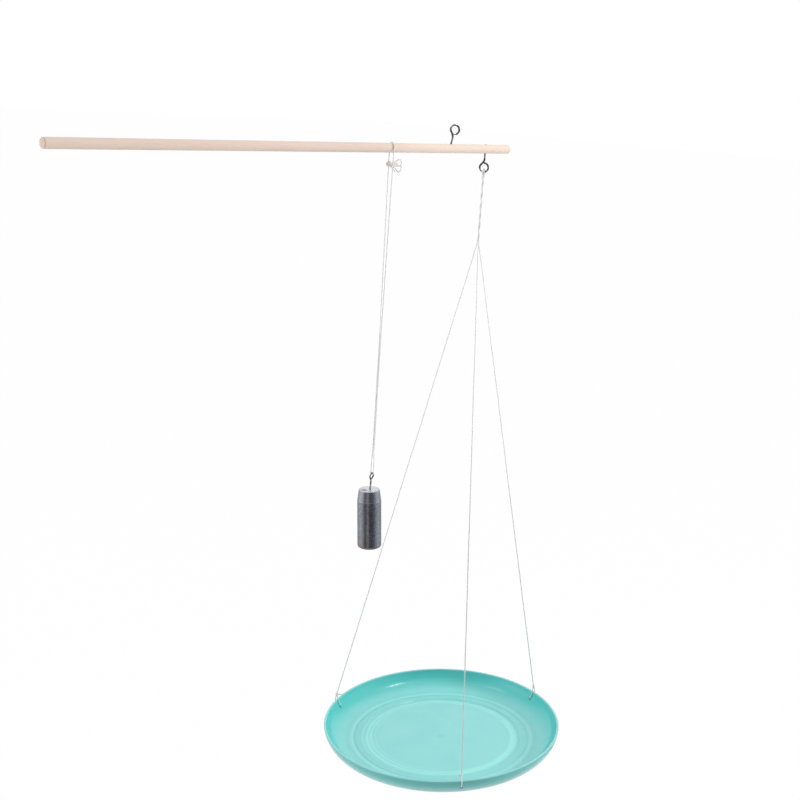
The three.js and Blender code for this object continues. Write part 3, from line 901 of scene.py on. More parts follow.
lip = dishSize["wall"] / 2
innerTop = dishSize["rimRadius"] - dishSize["wall"]
shelfZ = dishSize["shelfHeight"] - dishSize["depth"]
underZ = -dishSize["depth"] - dishSize["wall"] + dishSize["underTrim"]
innerWall = wallCurve(innerTop, -lip, dishSize["footRadius"], shelfZ)
outerWall = wallCurve(dishSize["rimRadius"], -lip, dishSize["baseRadius"], underZ)
tieRadius = dishSize["rimRadius"] - lip


def radiusAt(wall, z):
    # the wall's radius at a height, read off its curve
    return np.interp(z, wall[::-1, 1], wall[::-1, 0])


def makePanHanger():
    # each cord goes over the eye's wire as an arch with two legs into the knot; the outer two
    # are turned round the ring's middle, and each has its own slack: arch = touching arch + slack
    size, ring = panCords, panCords["eyeRing"]
    along, across = heading(size["eyeTurn"]), heading(size["eyeTurn"] + 90)
    middle = np.array([layout["panX"], 0, layout["panRingBottomZ"]])
    bare = size["eyeWire"] / 2 + cordRadius + layout["touch"]
    knotDrop = layout["panRingBottomZ"] - layout["ringKnotZ"]
    angle = np.linspace(math.pi, 0, size["archPlaces"])[:, None]
    shells = []
    for degrees, slack in size["arches"]:
        turn, arch = math.radians(degrees), bare + slack
        on = middle + ring * (math.sin(turn) * along + (1 - math.cos(turn)) * upward)
        top = math.cos(turn) * upward - math.sin(turn) * along
        over = on + arch * (np.cos(angle) * across + np.sin(angle) * top)
        slant = math.sin(turn) * ring * along
        knot = (size["legSpread"], size["legShare"], knotDrop)
        belly = (size["bellySpread"] + slack * size["bellyPerSlack"], size["bellyShare"],
                 size["bellyDrop"])
        legs = [
            middle + side * spread * across + share * slant - upward * drop
            for side, (spread, share, drop) in ((-1, knot), (-1, belly), (1, belly), (1, knot))
        ]
        path = through(np.vstack([legs[:2], over, legs[2:]]), cordSize["curveStep"])
        shells.append(cordRun(path, along, size["knotPale"]))
    loop = cordPiece("pan_loop", shells, "pan_hanger", ["pan_ring_loop"])
    knot = knotPiece("pan_loop_knot", (layout["panX"], 0, layout["ringKnotZ"]), size["ringKnot"],
                     size["ringKnot"], "pan_hanger", ["pan_ring_knot"], pale=size["knotPale"])
    return [loop, knot]


def makePanBundle():
    # three helices a third of a turn apart: middle + r * (cos(a + twist), sin(a + twist))
    size = panCords
    top, bottom = layout["ringKnotZ"], layout["gatherZ"]
    share = np.linspace(0, 1, size["strandPlaces"])[:, None]
    shells = []
    for degrees in dishSize["ties"].values():
        turn = math.radians(degrees) + size["bundleTurns"] * fullTurn * (1 - share)
        spoke = np.concatenate([np.cos(turn), np.sin(turn), 0 * share], axis=1)
        path = np.array([layout["panX"], 0, top]) + size["strandRadius"] * spoke
        path[:, 2:] += (bottom - top) * share
        shells.append(cordShell(*cordSkin(path, spoke), size["paleBundle"]))
    bundle = cordPiece("pan_strands", shells, "pan_yoke", ["pan_cord_bundle"])
    knot = knotPiece("pan_gather", (layout["panX"], 0, bottom), size["gatherKnot"],
                     size["gatherKnotHalf"], "pan_yoke", ["pan_gather_knot"],
                     pale=size["knotPale"])
    return [bundle, knot]


tieRoute = {
    "atKnot": 0.2,  # each leg's distance from the wall's middle, in the knot and at its neck
    "atNeck": 0.45,
    "neckDrop": 1.2,
    "bow": 0.05,
    "press": 0.02,
    "bendRise": 0.55,
    "bendReach": 0.5,
}


def tiePath(degrees):
    # down inside the wall, out through the hole under its upper edge, and back over the rim
    route = tieRoute
    clear = cordRadius + layout["touch"]
    level = dishSize["holeRadius"] - dishSize["holeDrop"] - clear
    inner, outer = radiusAt(innerWall, level) - clear, radiusAt(outerWall, level) + clear
    top, rim = innerTop - clear, dishSize["rimRadius"] + clear
    rise = dishSize["knotRise"]
    neck = rise - route["neckDrop"]
    stops = [
        (tieRadius - route["atKnot"], rise),
        (tieRadius - route["atNeck"], neck),
        (top, 0.0),
        ((top + inner) / 2 - route["bow"], level / 2),
        (inner + route["press"], level + route["bendRise"]),
        (inner + route["bendReach"], level),
        (tieRadius, level),
        (outer - route["bendReach"], level),
        (outer - route["press"], level + route["bendRise"]),
        ((outer + rim) / 2 + route["bow"], level / 2),
        (rim, -lip / 2),
        (tieRadius + route["atNeck"], neck),
        (tieRadius + route["atKnot"], rise),
    ]
    points = [heading(degrees) * radius + upward * z for radius, z in stops]
    return through(points, cordSize["curveStep"])


def tieKnotCentre(degrees):
    # above the middle of the wall, in the dish's own place
    return heading(degrees) * tieRadius + upward * dishSize["knotRise"]


def makeTies():
    # at each hole a loop, its knot above the rim and, at two of them, a cut end
    place, radius = dishPlace(), dishSize["knotRadius"]
    made = {}
    for side, degrees in dishSize["ties"].items():
        centre = tieKnotCentre(degrees)
        run = cordRun(tiePath(degrees), heading(degrees + 90))
        made[side] = [
            cordPiece("tie_loop_" + side, [run], "pan", ["rim_loop_" + side], place),
            knotPiece("tie_knot_" + side, centre, radius, radius, "pan", ["rim_knot_" + side],
                      degrees, place),
        ]
        if side in dishSize["tails"]:
            length = dishSize["tailLength"] + radius + cordSize["knotGap"]
            made[side].append(tailPiece(
                "tie_tail_" + side, centre, heading(dishSize["tails"][side]), length,
                dishSize["tailDroop"], "pan", ["rim_tail_" + side], place))
    return made


def makePanCords(ties, hanger):
    # from inside the gather knot straight to each tie; a cord's paleness is one blend from
    # the top to its own tint lower down
    place = dishPlace()
    middle = np.array([layout["panX"], 0, layout["gatherZ"]])
    for seed, (side, degrees) in enumerate(dishSize["ties"].items()):
        end = placed(tieKnotCentre(degrees)[None], place)[0]
        out = heading(degrees)
        start = middle + out * panCords["startRadius"] - upward * panCords["startDrop"]
        run = straightPath(start, end, panCords["wander"], seed)
        inside = middle + out * panCords["insideRadius"]
        path = evenly(np.vstack([[inside], run]), cordSize["ringStep"])
        low = ease(*panCords["paleFade"], np.linspace(0, 1, len(path)))[:, None]
        pale = panCords["paleTop"] * (1 - low) + panCords["pale"][side] * low
        cord = cordPiece("pan_string_" + side, [cordShell(*cordSkin(path, skewWay), pale)], "pan",
                         ["pan_cord_" + side])
        ties[side] + (hanger if side == "left" else [])


# The weight's cord: over the beam, down in front, through the weight's eye, and up behind to a bow
loadCord = {
    "pale": 0.85,
    "skew": 1.2,  # how far along the beam each end of the saddle is from its middle
    "nipStart": 0.58,  # shares of the way down at which the strands meet and part again
    "nipEnd": 0.915,
    "nipShare": 0.75,
    "pitch": 0.95,
    "plane": 105,  # the heading from the front strand to the back one at the weight's eye
    "eyeWire": 0.9,
    "legLength": 2.4,
    "archPlaces": 60,
    "strandPlaces": 700,
    "bightPlaces": 40,
    "topPlaces": 60,
    "knotDrop": 8.6,
    "knotRadius": 1.5,
    "knotTurn": 20,
    "loopLength": 5.3,
    "loopHeight": 3.3,
    "loopSwell": 0.965,
    "loopPale": 0.8,
    "loopPlaces": 120,
    "loopLeg": 0.4,  # half the distance of a loop's legs at the knot, and then inside it
    "insideReach": 0.7,
    "insideLeg": 0.2,
    "loops": {"upper": (-28, 9), "lower": (-50, -22)},  # heading and rise, in degrees
    "tails": {"upper": (0, 4, 4.8), "lower": (-10, -40, 4.0)},  # the same, then length
    "tailDroop": 0.25,
    "saddleRise": 0.3,  # the saddle's slim ends start this far above the beam's axis
    "saddleOverlap": 0.6,
    "saddleSlim": 0.74,
    "saddleSides": 12,
    "saddleRows": 12,
    # the slim ends' grey is painted shade
    "saddleShade": 0.4,
    "cutSlack": 0.05,
}
overBeam = layout["beamRadius"] + cordRadius + layout["touch"]
underEye = loadCord["eyeWire"] / 2 + cordRadius + layout["touch"]


def strandPoints(side, z):
    # straight from beside the beam to a nip, then eased apart to the legs of the bight
    across = heading(loadCord["plane"]) * side
    drop = layout["beamZ"] - layout["weightEyeTopZ"]
    share = ((layout["beamZ"] - z) / drop)[:, None]
    closing = np.clip(share / loadCord["nipStart"], 0, 1)
    opening = ease(loadCord["nipEnd"], 1 - loadCord["legLength"] / drop, share)
    atBeam = np.array([[side * loadCord["skew"], side * overBeam, 0]])
    atNip = across[None] * loadCord["pitch"] / 2 * loadCord["nipShare"]
    point = atBeam * (1 - closing) + atNip * closing
    point = point * (1 - opening) + across[None] * underEye * opening
    return point + np.stack([np.full(len(z), layout["loadX"]), 0 * z, z], axis=1)


def loadLine(legTop, knotZ):
    # one line from the back of the beam over it, down in front, through the eye and up to the
    # knot: a half circle round the beam, a strand, a half circle under the eye, a strand
    beamZ, loadX, footZ = layout["beamZ"], layout["loadX"], layout["weightEyeTopZ"]
    a = np.linspace(math.pi, 0, loadCord["archPlaces"])[:, None]
    arch = [-loadCord["skew"] * np.cos(a), -overBeam * np.cos(a), overBeam * np.sin(a)]
    over = np.concatenate(arch, axis=1) + np.array([loadX, 0, beamZ])
    front = strandPoints(-1, np.linspace(beamZ, legTop, loadCord["strandPlaces"]))
    b = np.linspace(math.pi, fullTurn, loadCord["bightPlaces"])[:, None]
    under = underEye * (np.cos(b) * heading(loadCord["plane"]) + np.sin(b) * upward)
    under += np.array([loadX, 0, footZ])
    back = strandPoints(1, np.linspace(legTop, knotZ, loadCord["strandPlaces"]))
    return evenly(np.vstack([over, front[1:], under, back]), cordSize["ringStep"])


def makeLoadCord():
    # one cord from over the beam to the bow's knot, cut into pieces, and its top end above that
    beamZ = layout["beamZ"]
    legTop = layout["weightEyeTopZ"] + loadCord["legLength"]
    knotZ = beamZ - loadCord["knotDrop"]
    reference = np.array([1.0, 0.0, 0.0])
    line = loadLine(legTop, knotZ)
    points, groove = cordSkin(line, reference)

    # cut where the pieces part: at the first ring below the beam's axis, and at the bight's legs
    topEnd = int(np.argmin(line[:, 2] >= beamZ - loadCord["cutSlack"]))
    low = np.flatnonzero(line[:, 2] < legTop)
    cuts = [(0, topEnd + 1), (topEnd, low[0] + 1), (low[0], low[-1] + 2), (low[-1] + 1, len(line))]

    def cut(name, which, nodes):
        rows = slice(*cuts[which])
        shell = cordShell(points[rows], groove[rows], loadCord["pale"])
        return cordPiece(name, [shell], "load_cord", nodes), line[rows]

    # the saddle goes on a little below the beam's axis, slimmer, inside the strands' tops
    rows, sides = slice(*cuts[0]), loadCord["saddleSides"]
    saddle = [cordShell(points[rows], groove[rows])]
    z = np.linspace(beamZ + loadCord["saddleRise"], beamZ - loadCord["saddleOverlap"],
                    loadCord["saddleRows"])
    for side in (1, -1):
        slim = swept(strandPoints(side, z), reference, cordRadius * loadCord["saddleSlim"], sides)
        saddle.append(cordShell(slim, np.full(slim.shape[:2], loadCord["saddleShade"])))
    cordPiece("load_saddle", saddle, "load_slider", ["load_cord_saddle"])
    frontPiece, frontLine = cut("load_string_front", 1, ["load_cord_front"])
    bightPiece, _ = cut("load_bight", 2, ["load_cord_bight"])
    backPiece, backLine = cut("load_string_back", 3, ["load_cord_back_lower"])
    upper = cordRun(strandPoints(1, np.linspace(knotZ, beamZ, loadCord["topPlaces"])), reference)
    upperPiece = cordPiece("load_string_top", [upper], "load_cord", ["load_cord_back_upper"])
    bow = makeBow(strandPoints(1, np.array([knotZ]))[0])


def makeBow(centre):
    # the knot, then a loop and a cut end on each level of it
    radius = loadCord["knotRadius"]
    bow = [knotPiece("bow_knot", centre, radius, radius, "load_cord", ["load_knot"],
                     loadCord["knotTurn"])]
    for level in ("upper", "lower"):
        bow.append(bowLoop(level, centre, *loadCord["loops"][level]))
        degrees, tilt, length = loadCord["tails"][level]
        lean = math.radians(tilt)
        out = heading(degrees) * math.cos(lean) + upward * math.sin(lean)
        bow.append(tailPiece("bow_end_" + level, centre, out,
                             length + radius + cordSize["knotGap"], loadCord["tailDroop"],
                             "load_cord", ["bow_tail_" + level]))
    return bow


def bowLoop(level, centre, degrees, tiltDegrees):
    # a drop: out by sin squared of half the turn, and across by its sine times that squared
    tilt = math.radians(tiltDegrees)
    out = heading(degrees) * math.cos(tilt) + upward * math.sin(tilt)
    across = upward * math.cos(tilt) - heading(degrees) * math.sin(tilt)
    turn = np.linspace(0, fullTurn, loadCord["loopPlaces"])[:, None]
    reached = np.sin(turn / 2)**2
    swell = loadCord["loopSwell"] * loadCord["loopHeight"] * np.sin(turn) * reached**2
    leg = loadCord["loopLeg"] * np.cos(turn / 2) * (1 - reached)
    start = loadCord["knotRadius"] + cordSize["knotGap"]
    path = centre + out * (start + loadCord["loopLength"] * reached) + across * (swell + leg)
    inside, legInside = centre + out * loadCord["insideReach"], across * loadCord["insideLeg"]
    path = np.vstack([[inside + legInside], path, [inside - legInside]])
    run = cordRun(path, np.cross(out, across), loadCord["loopPale"])
    return cordPiece("bow_ear_" + level, [run], "load_cord", ["bow_loop_" + level])


hanger = makePanHanger() + makePanBundle()
ties = makeTies()
makePanCords(ties, hanger)
makeLoadCord()
print("cords laid")


beamSize = {
    "edgeRound": 0.6,
    "edgeRows": 9,
    "faceStart": 0.25,
    "faceRows": 9,
    "columns": 88,
    "coarseStep": 1.6,
    "fineStep": 0.13,
    "fineReach": 2.2,  # from each screw, along the beam
    "lean": 18,  # of the fulcrum eye along the beam
    "pressWidth": 0.72,
    "lipAt": 1.0,
    "lipWidth": 0.22,
    "stainWidth": 0.86,
    "markFrom": 0.8,  # from the beam's axis, so that a mark stays on its own side
    "marks": (
        # which screw, the side of the beam, how deep it is pressed in, how high the lip stands
        ("fulcrum", 1, 0.16, 0.05), ("pan", -1, 0.16, 0.05), ("pan", 1, 0.10, 0.12),
    ),
}


def boreMarks(points, normals):
    # where a screw goes in: a pressed ring by exp(-(d / width)^4), d from its axis, then a
    # raised lip by exp(-((d - middle) / width)^2)
    size, lean = beamSize, math.radians(beamSize["lean"])
    screws = {
        "fulcrum": (layout["fulcrumX"], (math.sin(lean), 0, math.cos(lean))),
        "pan": (layout["panX"], (0, 0, 1)),
    }
    bored = np.zeros(points.shape[:2])
    out = points.copy()
    for screw, side, depth, rise in size["marks"]:
        x, along = screws[screw]
        away = points - np.array([x, 0, layout["beamZ"]])
        along = np.array(along)
        d = np.linalg.norm(away - (away @ along)[..., None] * along, axis=-1)
        here = (side * (points[..., 2] - layout["beamZ"]) > size["markFrom"]).astype(float)
        press = np.exp(-(d / size["pressWidth"])**4) * here
        raised = np.exp(-((d - size["lipAt"]) / size["lipWidth"])**2) * here
        out += normals * (rise * raised - depth * press)[..., None]
        bored = np.maximum(bored, np.exp(-(d / size["stainWidth"])**4) * here)
    return out, bored


def makeBeam():
    # a circle of radius r(x) about the beam's axis, from end face to end face, with rounded edges
    size, r, edge = beamSize, layout["beamRadius"], beamSize["edgeRound"]
    left, right = layout["tipX"] - layout["beamLength"], layout["tipX"]
    reach, step = size["fineReach"], size["fineStep"]
    middle = np.unique(np.concatenate([
        np.arange(left + edge, right - edge, size["coarseStep"]),
        *[np.arange(x - reach, x + reach, step) for x in (layout["fulcrumX"], layout["panX"])],
        [right - edge],
    ]))[1:-1]
    a = np.linspace(0, math.pi / 2, size["edgeRows"])
    inset, shrink = edge * (1 - np.cos(a)), edge * (1 - np.sin(a))
    faceRadii = np.linspace(size["faceStart"], r - edge, size["faceRows"])[:-1]
    x = np.concatenate([
        0 * faceRadii + left, left + inset, middle, (right - inset)[::-1], 0 * faceRadii + right,
    ])
    radius = np.concatenate([
        faceRadii, r - shrink, r + 0 * middle, (r - shrink)[::-1], faceRadii[::-1],
    ])
    angle = np.linspace(0, fullTurn, size["columns"], endpoint=False)[None]
    normals = np.stack([0 * angle, np.cos(angle), np.sin(angle)], axis=-1)
    normals = normals * np.ones((len(x), 1, 1))
    points = normals * radius[:, None, None]
    points[..., 0] = x[:, None]
    points[..., 2] += layout["beamZ"]
    points, bored = boreMarks(points, normals)
    shell = skin(points, bored=bored)
    shell["own"] = shell["points"] - np.array([layout["tipX"], 0, layout["beamZ"]])
    makePiece("dowel", [shell], wood, "beam", ["beam"])


makeBeam()
print("beam turned")


eyeSize = {
    "sides": 28,
    "shankStep": 0.06,
    "neckStart": 1.8,  # shares of the ring's radius, as is the next
    "neckPull": 1.42,
    "neckPlaces": 30,
    "startDegrees": 225,
    "endDegrees": -94,
    "ringPlaces": 150,
    "crestShare": 0.62,
    "rootShare": 0.24,
    "rootShade": 0.85,
    "runOut": 1.2,
    "pointLength": 2.2,
    "pointStart": 0.12,
    "pointPower": 0.7,
    "endShare": 0.14,
    "endLength": 0.12,
    "fulcrumTurn": -28,
    "panStand": 7.8,  # from the beam's underside to the middle of the ring
    "beam": {"wire": 1.1, "ring": 2.48, "tip": 13.2, "thread": 8.4, "pitch": 0.95},
    "weight": {"wire": 0.9, "ring": 1.7, "tip": 14.8, "thread": 7.6, "pitch": 0.8},
}


def screwEyeShell(size):
    # bent wire in the XZ plane: straight shank, a Bezier neck and three quarters of a ring. The
    # radius of the threaded part is core + ridge * (1 - |2 f - 1| / w), f being how far each
    # place is through its turn of the thread
    common, ring = eyeSize, size["ring"]
    neck = -common["neckStart"] * ring
    shank = np.arange(-size["tip"], neck, common["shankStep"])
    path = [np.stack([0 * shank, 0 * shank, shank], axis=1)]
    first, last = common["startDegrees"], common["endDegrees"]
    a = math.radians(first)
    t = np.linspace(0, 1, common["neckPlaces"])[:, None]
    corner = np.array([0, 0, -common["neckPull"] * ring])
    onRing = np.array([math.cos(a), 0, math.sin(a)]) * ring
    path.append((1 - t)**2 * np.array([0, 0, neck]) + 2 * t * (1 - t) * corner + t**2 * onRing)
    a = np.radians(np.linspace(first, last, common["ringPlaces"]))[1:, None]
    path.append(np.concatenate([np.cos(a), 0 * a, np.sin(a)], axis=1) * ring)
    path = np.vstack(path)
    along = lengthsAlong(path)[:, None]
    angle = np.linspace(0, fullTurn, common["sides"], endpoint=False)[None]
    turnShare = (along / size["pitch"] + angle / fullTurn) % 1
    ridge = np.clip(1 - np.abs(2 * turnShare - 1) / common["crestShare"], 0, 1)
    threaded = 1 - ease(size["thread"] - common["runOut"], size["thread"], along)
    radius = size["wire"] / 2 * (1 - threaded * common["rootShare"] * (1 - ridge))
    pointed = np.clip((along + common["pointStart"]) / common["pointLength"], 0, 1)
    ended = ease(along[-1] - common["endLength"], along[-1], along)
    radius = radius * pointed**common["pointPower"] * (1 - common["endShare"] * ended)
    groove = threaded * (1 - ridge) * common["rootShade"]
    points = swept(path, np.array([0.0, 1.0, 0.0]), radius, common["sides"])
    return skin(points, groove=groove)


weightSize = {
    "lean": 3.447,
    "skew": 7,  # how far the screw leans in the body
    "skewDegrees": -47,
    "eyeTurn": 15,
    "radius": 6.85,
    "length": 34,
    "topShare": 0.875,  # of the radius
    "taper": 6.3,  # how far down the taper ends, at a turned seam
    "topRound": 0.4,
    "footRound": 1.6,
    "eyeReach": 9.5,
    "offset": 1.596,  # of the body's axis from the top of the ring
    "hole": 0.62,
    "holeChamfer": 0.14,
    "holeLevels": (-2.4, -1.6, -0.8),
    "seam": 0.09,
    "seamWidth": 0.12,
    "seamRows": (0.42, 0.2, 0.1, 0.0, -0.1, -0.2, -0.42),
    "seamRoom": (0.6, 1.0),  # where the rows above and below the seam stop
    "baseMiddle": 0.3,
    "wearWidth": 0.35,
    "wearInside": 0.3,
    "footWear": 0.5,
    "columns": 160,
    "rows": {"face": 34, "topRound": 7, "taper": 16, "side": 40, "foot": 13, "base": 26},
    "sharp": 50,
}


def weightPlace():
    # the weight leans back about the top of its ring until its middle is under it
    top = moved(layout["loadX"], 0, layout["weightEyeTopZ"])
    return top @ turned(-weightSize["lean"], heading(weightSize["skewDegrees"] + 90))


def makeEyes():
    # the same small screw eye above and below the beam, and a smaller one in the weight
    size, small = eyeSize["beam"], eyeSize["weight"]
    fulcrum = turned(beamSize["lean"], (0, 1, 0)) @ turned(eyeSize["fulcrumTurn"], (0, 0, 1))
    makePiece("fulcrum_screw", [screwEyeShell(size)], plated, "beam", ["fulcrum_eye"], fulcrum)
    below = layout["beamZ"] - layout["beamRadius"] - eyeSize["panStand"]
    pan = moved(layout["panX"], 0, below) @ turned(panCords["eyeTurn"], (0, 0, 1))
    makePiece("pan_screw", [screwEyeShell(size)], plated, "beam", ["pan_eye"],
              pan @ turned(180, (1, 0, 0)))
    skewed = turned(weightSize["skew"], heading(weightSize["skewDegrees"] + 90))
    weight = weightPlace() @ skewed @ turned(weightSize["eyeTurn"], (0, 0, 1))
    makePiece("weight_screw", [screwEyeShell(small)], plated, "load", ["weight_eye"],
              weight @ moved(0, 0, -small["ring"]))


makeEyes()
print("screw eyes bent")


def makeWeight():
    # circles of radius r(t) at height z(t) that are centred on the screw at its hole and on the
    # body's axis from the top's edge outwards
    size, rows = weightSize, weightSize["rows"]
    length, topRound, footRound = size["length"], size["topRound"], size["footRound"]
    topRadius = size["radius"] * size["topShare"]
    flatEnd = topRadius - topRound
    slope = (size["radius"] - topRadius) / (size["taper"] - topRound)
    above, below = size["seamRoom"]
    holeZ = np.array([*size["holeLevels"], -size["holeChamfer"], 0.0])
    holeRadius = size["hole"] + np.maximum(0, holeZ + size["holeChamfer"])
    face = np.linspace(0, 1, rows["face"])[1:]
    a = np.linspace(0, math.pi / 2, rows["topRound"])[1:]
    taper = np.linspace(0, 1, rows["taper"])[1:]
    taperZ = -topRound - taper * (size["taper"] - topRound - above)
    seam = np.array(size["seamRows"])
    seamDip = size["seam"] * np.exp(-(seam / size["seamWidth"])**2)
    sideZ = np.linspace(-size["taper"] - below, footRound - length, rows["side"])
    foot = np.linspace(0, math.pi / 2, rows["foot"])[1:]
    base = np.linspace(size["radius"] - footRound, size["baseMiddle"], rows["base"])[1:]
    radius = np.concatenate([
        holeRadius,
        holeRadius[-1] + face * (flatEnd - holeRadius[-1]),
        flatEnd + topRound * np.sin(a),
        topRadius - slope * (taperZ + topRound),
        size["radius"] - slope * np.maximum(0, seam) - seamDip,
        0 * sideZ + size["radius"],
        size["radius"] - footRound * (1 - np.cos(foot)),
        base,
    ])
    z = np.concatenate([
        holeZ,
        0 * face,
        -topRound * (1 - np.cos(a)),
        taperZ,
        seam - size["taper"],
        sideZ,
        footRound - length - footRound * np.sin(foot),
        0 * base - length,
    ])
    outside = np.ones(len(radius) - len(holeZ) - len(face))
    toBody = np.concatenate([0 * holeZ, ease(0, 1, face), outside])
    axis = -heading(size["skewDegrees"]) * size["offset"]
    lean = math.tan(math.radians(size["skew"]))
    screw = -heading(size["skewDegrees"]) * size["eyeReach"] * lean
    middle = screw + (axis - screw) * toBody[:, None]
    angle = np.linspace(0, fullTurn, size["columns"], endpoint=False)[None]
    ring = np.stack([np.cos(angle), np.sin(angle), 0 * angle], axis=-1)
    points = middle[:, None] + radius[:, None, None] * ring
    points[..., 2] = z[:, None] - size["eyeReach"]
    edges = (0.0, -size["taper"], size["footWear"] - length)
    edge = sum(np.exp(-((z - at) / size["wearWidth"])**2) for at in edges)
    edge = edge * (radius > flatEnd - size["wearInside"])
    shell = skin(points, edge=np.broadcast_to(edge[:, None], points.shape[:2]))
    shell["own"] = shell["points"] - axis + upward * size["eyeReach"]
    makePiece("steel_weight", [shell], steel, "load", ["weight_body"], weightPlace(),
              size["sharp"])


makeWeight()
print("weight turned")


dishGrid = {
    "columns": 360,
    "blockColumns": 2,  # columns taken out each side of a tie hole
    "upperStep": 0.56,
    "upperEnd": -7.42,
    "belowGap": 0.15,
    "belowRows": 16,
    "underMiddle": 0.4,
    "underRows": 14,
    "lipRows": 13,
    "floorRows": ((53.8, 22), (51.5, 4), (40.4, 46), (4.0, 14), (0.25, 18)),
    "blockTop": -2.6,
    "patch": (0.45, 0.8, 1.0),  # shares of the way from the block's edge to the hole
    "slack": 1e-6,
    "sharp": 50,
}


def wallRows(wall):
    # even steps of height down to below the holes, then even steps of the curve
    top, end = wall[0, 1], dishGrid["upperEnd"]
    upper = np.linspace(top, end, int(round((top - end) / dishGrid["upperStep"])) + 1)
    below = wall[wall[:, 1] < end - dishGrid["belowGap"]]
    below = below[np.linspace(0, len(below) - 1, dishGrid["belowRows"]).astype(int)]
    return np.vstack([np.stack([radiusAt(wall, upper), upper], axis=1), below])


def dishProfile():
    # underside, outer wall, lip, inner wall, then the floor: a shelf, and eased steps for its
    # rings, its fall to the middle and the gate's low button
    under = np.linspace(dishGrid["underMiddle"], dishSize["baseRadius"],
                        dishGrid["underRows"])[:-1]
    a = np.linspace(0, math.pi, dishGrid["lipRows"])[1:-1]
    lipRows = np.stack([tieRadius + lip * np.cos(a), -lip + lip * np.sin(a)], axis=1)
    radii, start = [], dishSize["footRadius"]
    for end, places in dishGrid["floorRows"]:
        radii.append(np.linspace(start, end, places)[1:])
        start = end
    radii = np.concatenate(radii)
    floor = shelfZ + sum(
        change * (1 - ease(low, high, radii)) for low, high, change in dishSize["floorSteps"]
    )
    outer, inner = wallRows(outerWall)[::-1], wallRows(innerWall)
    rows = np.vstack([
        np.stack([under, 0 * under + underZ], axis=1), outer, lipRows, inner,
        np.stack([radii, floor], axis=1),
    ])
    outerStart = len(under)
    innerStart = outerStart + len(outer) + len(lipRows)
    return rows, (outerStart, len(outer)), (innerStart, len(inner))


def holePatch(wall, zRows, degrees):
    # rings between a square block's edge and the hole's circle, each a straight blend of the
    # two in distance round the dish and height
    wide, last = dishGrid["blockColumns"], len(zRows) - 1
    columns = np.arange(-wide, wide + 1)
    loop = [(c, 0) for c in columns[:-1]] + [(wide, j) for j in range(last)]
    loop += [(c, last) for c in columns[:0:-1]] + [(-wide, j) for j in range(last, 0, -1)]
    loop = np.array(loop)
    z = zRows[loop[:, 1]]
    across = np.radians(loop[:, 0]) * radiusAt(wall, z)
    angle = np.arctan2(z + dishSize["holeDrop"], across)
    hole = dishSize["holeRadius"]
    rings = []
    for share in dishGrid["patch"]:
        height = z * (1 - share) + (hole * np.sin(angle) - dishSize["holeDrop"]) * share
        distance = across * (1 - share) + hole * np.cos(angle) * share
        radius = radiusAt(wall, height)
        turn = math.radians(degrees) + distance / radius
        rings.append(np.stack([radius * np.cos(turn), radius * np.sin(turn), height], axis=1))
    return loop, rings


def ringBand(first, second):
    # quads from one closed loop of points to the next
    return np.stack([first, np.roll(first, -1), np.roll(second, -1), second], axis=1)


def makeDish():
    # the profile turned once round, with a patch of rings and a tube of quads at each tie hole
    rows, (outerStart, outerCount), (innerStart, innerCount) = dishProfile()
    columns, wide = dishGrid["columns"], dishGrid["blockColumns"]
    angle = np.linspace(0, fullTurn, columns, endpoint=False)[None]
    points = np.stack([
        rows[:, :1] * np.cos(angle), rows[:, :1] * np.sin(angle),
        rows[:, 1:] * np.ones_like(angle),
    ], axis=-1)
    # the pale line on the rim: painted sheen where the lip catches the light
    worn = np.exp(-((rows[:, 1] - dishSize["sheenLevel"]) / dishSize["wearWidth"])**2)
    worn = worn * (rows[:, 0] > innerTop - dishSize["wearInside"])
    outer = 1.0 * (np.arange(len(rows)) < outerStart + outerCount)
    shell = skin(
        points,
        edge=np.broadcast_to(worn[:, None], points.shape[:2]),
        outer=np.broadcast_to(outer[:, None], points.shape[:2]),
    )
    keep = np.ones((len(rows) - 1, columns), bool)
    extra, quads, sides = [], [], []
    total = len(shell["points"])
    blockEnd = dishGrid["upperEnd"] - dishGrid["slack"]
    for degrees in dishSize["ties"].values():
        circles = []
        for wall, start, count, flip in (
            (innerWall, innerStart, innerCount, False), (outerWall, outerStart, outerCount, True),
        ):
            z = rows[start:start + count, 1]
            block = np.flatnonzero((z <= dishGrid["blockTop"]) & (z >= blockEnd))
            block = start + block[np.argsort(-z[block])]  # from the top down
            loop, rings = holePatch(wall, rows[block, 1], degrees)
            last = block[loop[:, 1]] * columns + (round(degrees) + loop[:, 0]) % columns
            gone = (round(degrees) + np.arange(-wide, wide)) % columns
            keep[np.ix_(np.arange(block.min(), block.max()), gone)] = False
            for ring in rings:
                new = total + np.arange(len(ring))
                total += len(ring)
                extra.append(ring)
                sides.append(np.full(len(ring), 1.0 * flip))
                faces = ringBand(last, new)
                quads.append(faces[:, ::-1] if flip else faces)
                last = new
            circles.append(last)
        quads.append(ringBand(*circles))
    shell["points"] = np.vstack([shell["points"], *extra])
    shell["quads"] = np.vstack([shell["quads"][keep.ravel()], *quads])
    plain = np.zeros(total - len(shell["values"]["edge"]))
    shell["values"]["edge"] = np.concatenate([shell["values"]["edge"], plain])
    shell["values"]["outer"] = np.concatenate([shell["values"]["outer"], *sides])
    makePiece("green_dish", [shell], plastic, "pan", ["pan_dish"], dishPlace(),
              dishGrid["sharp"])


makeDish()
print("dish moulded")


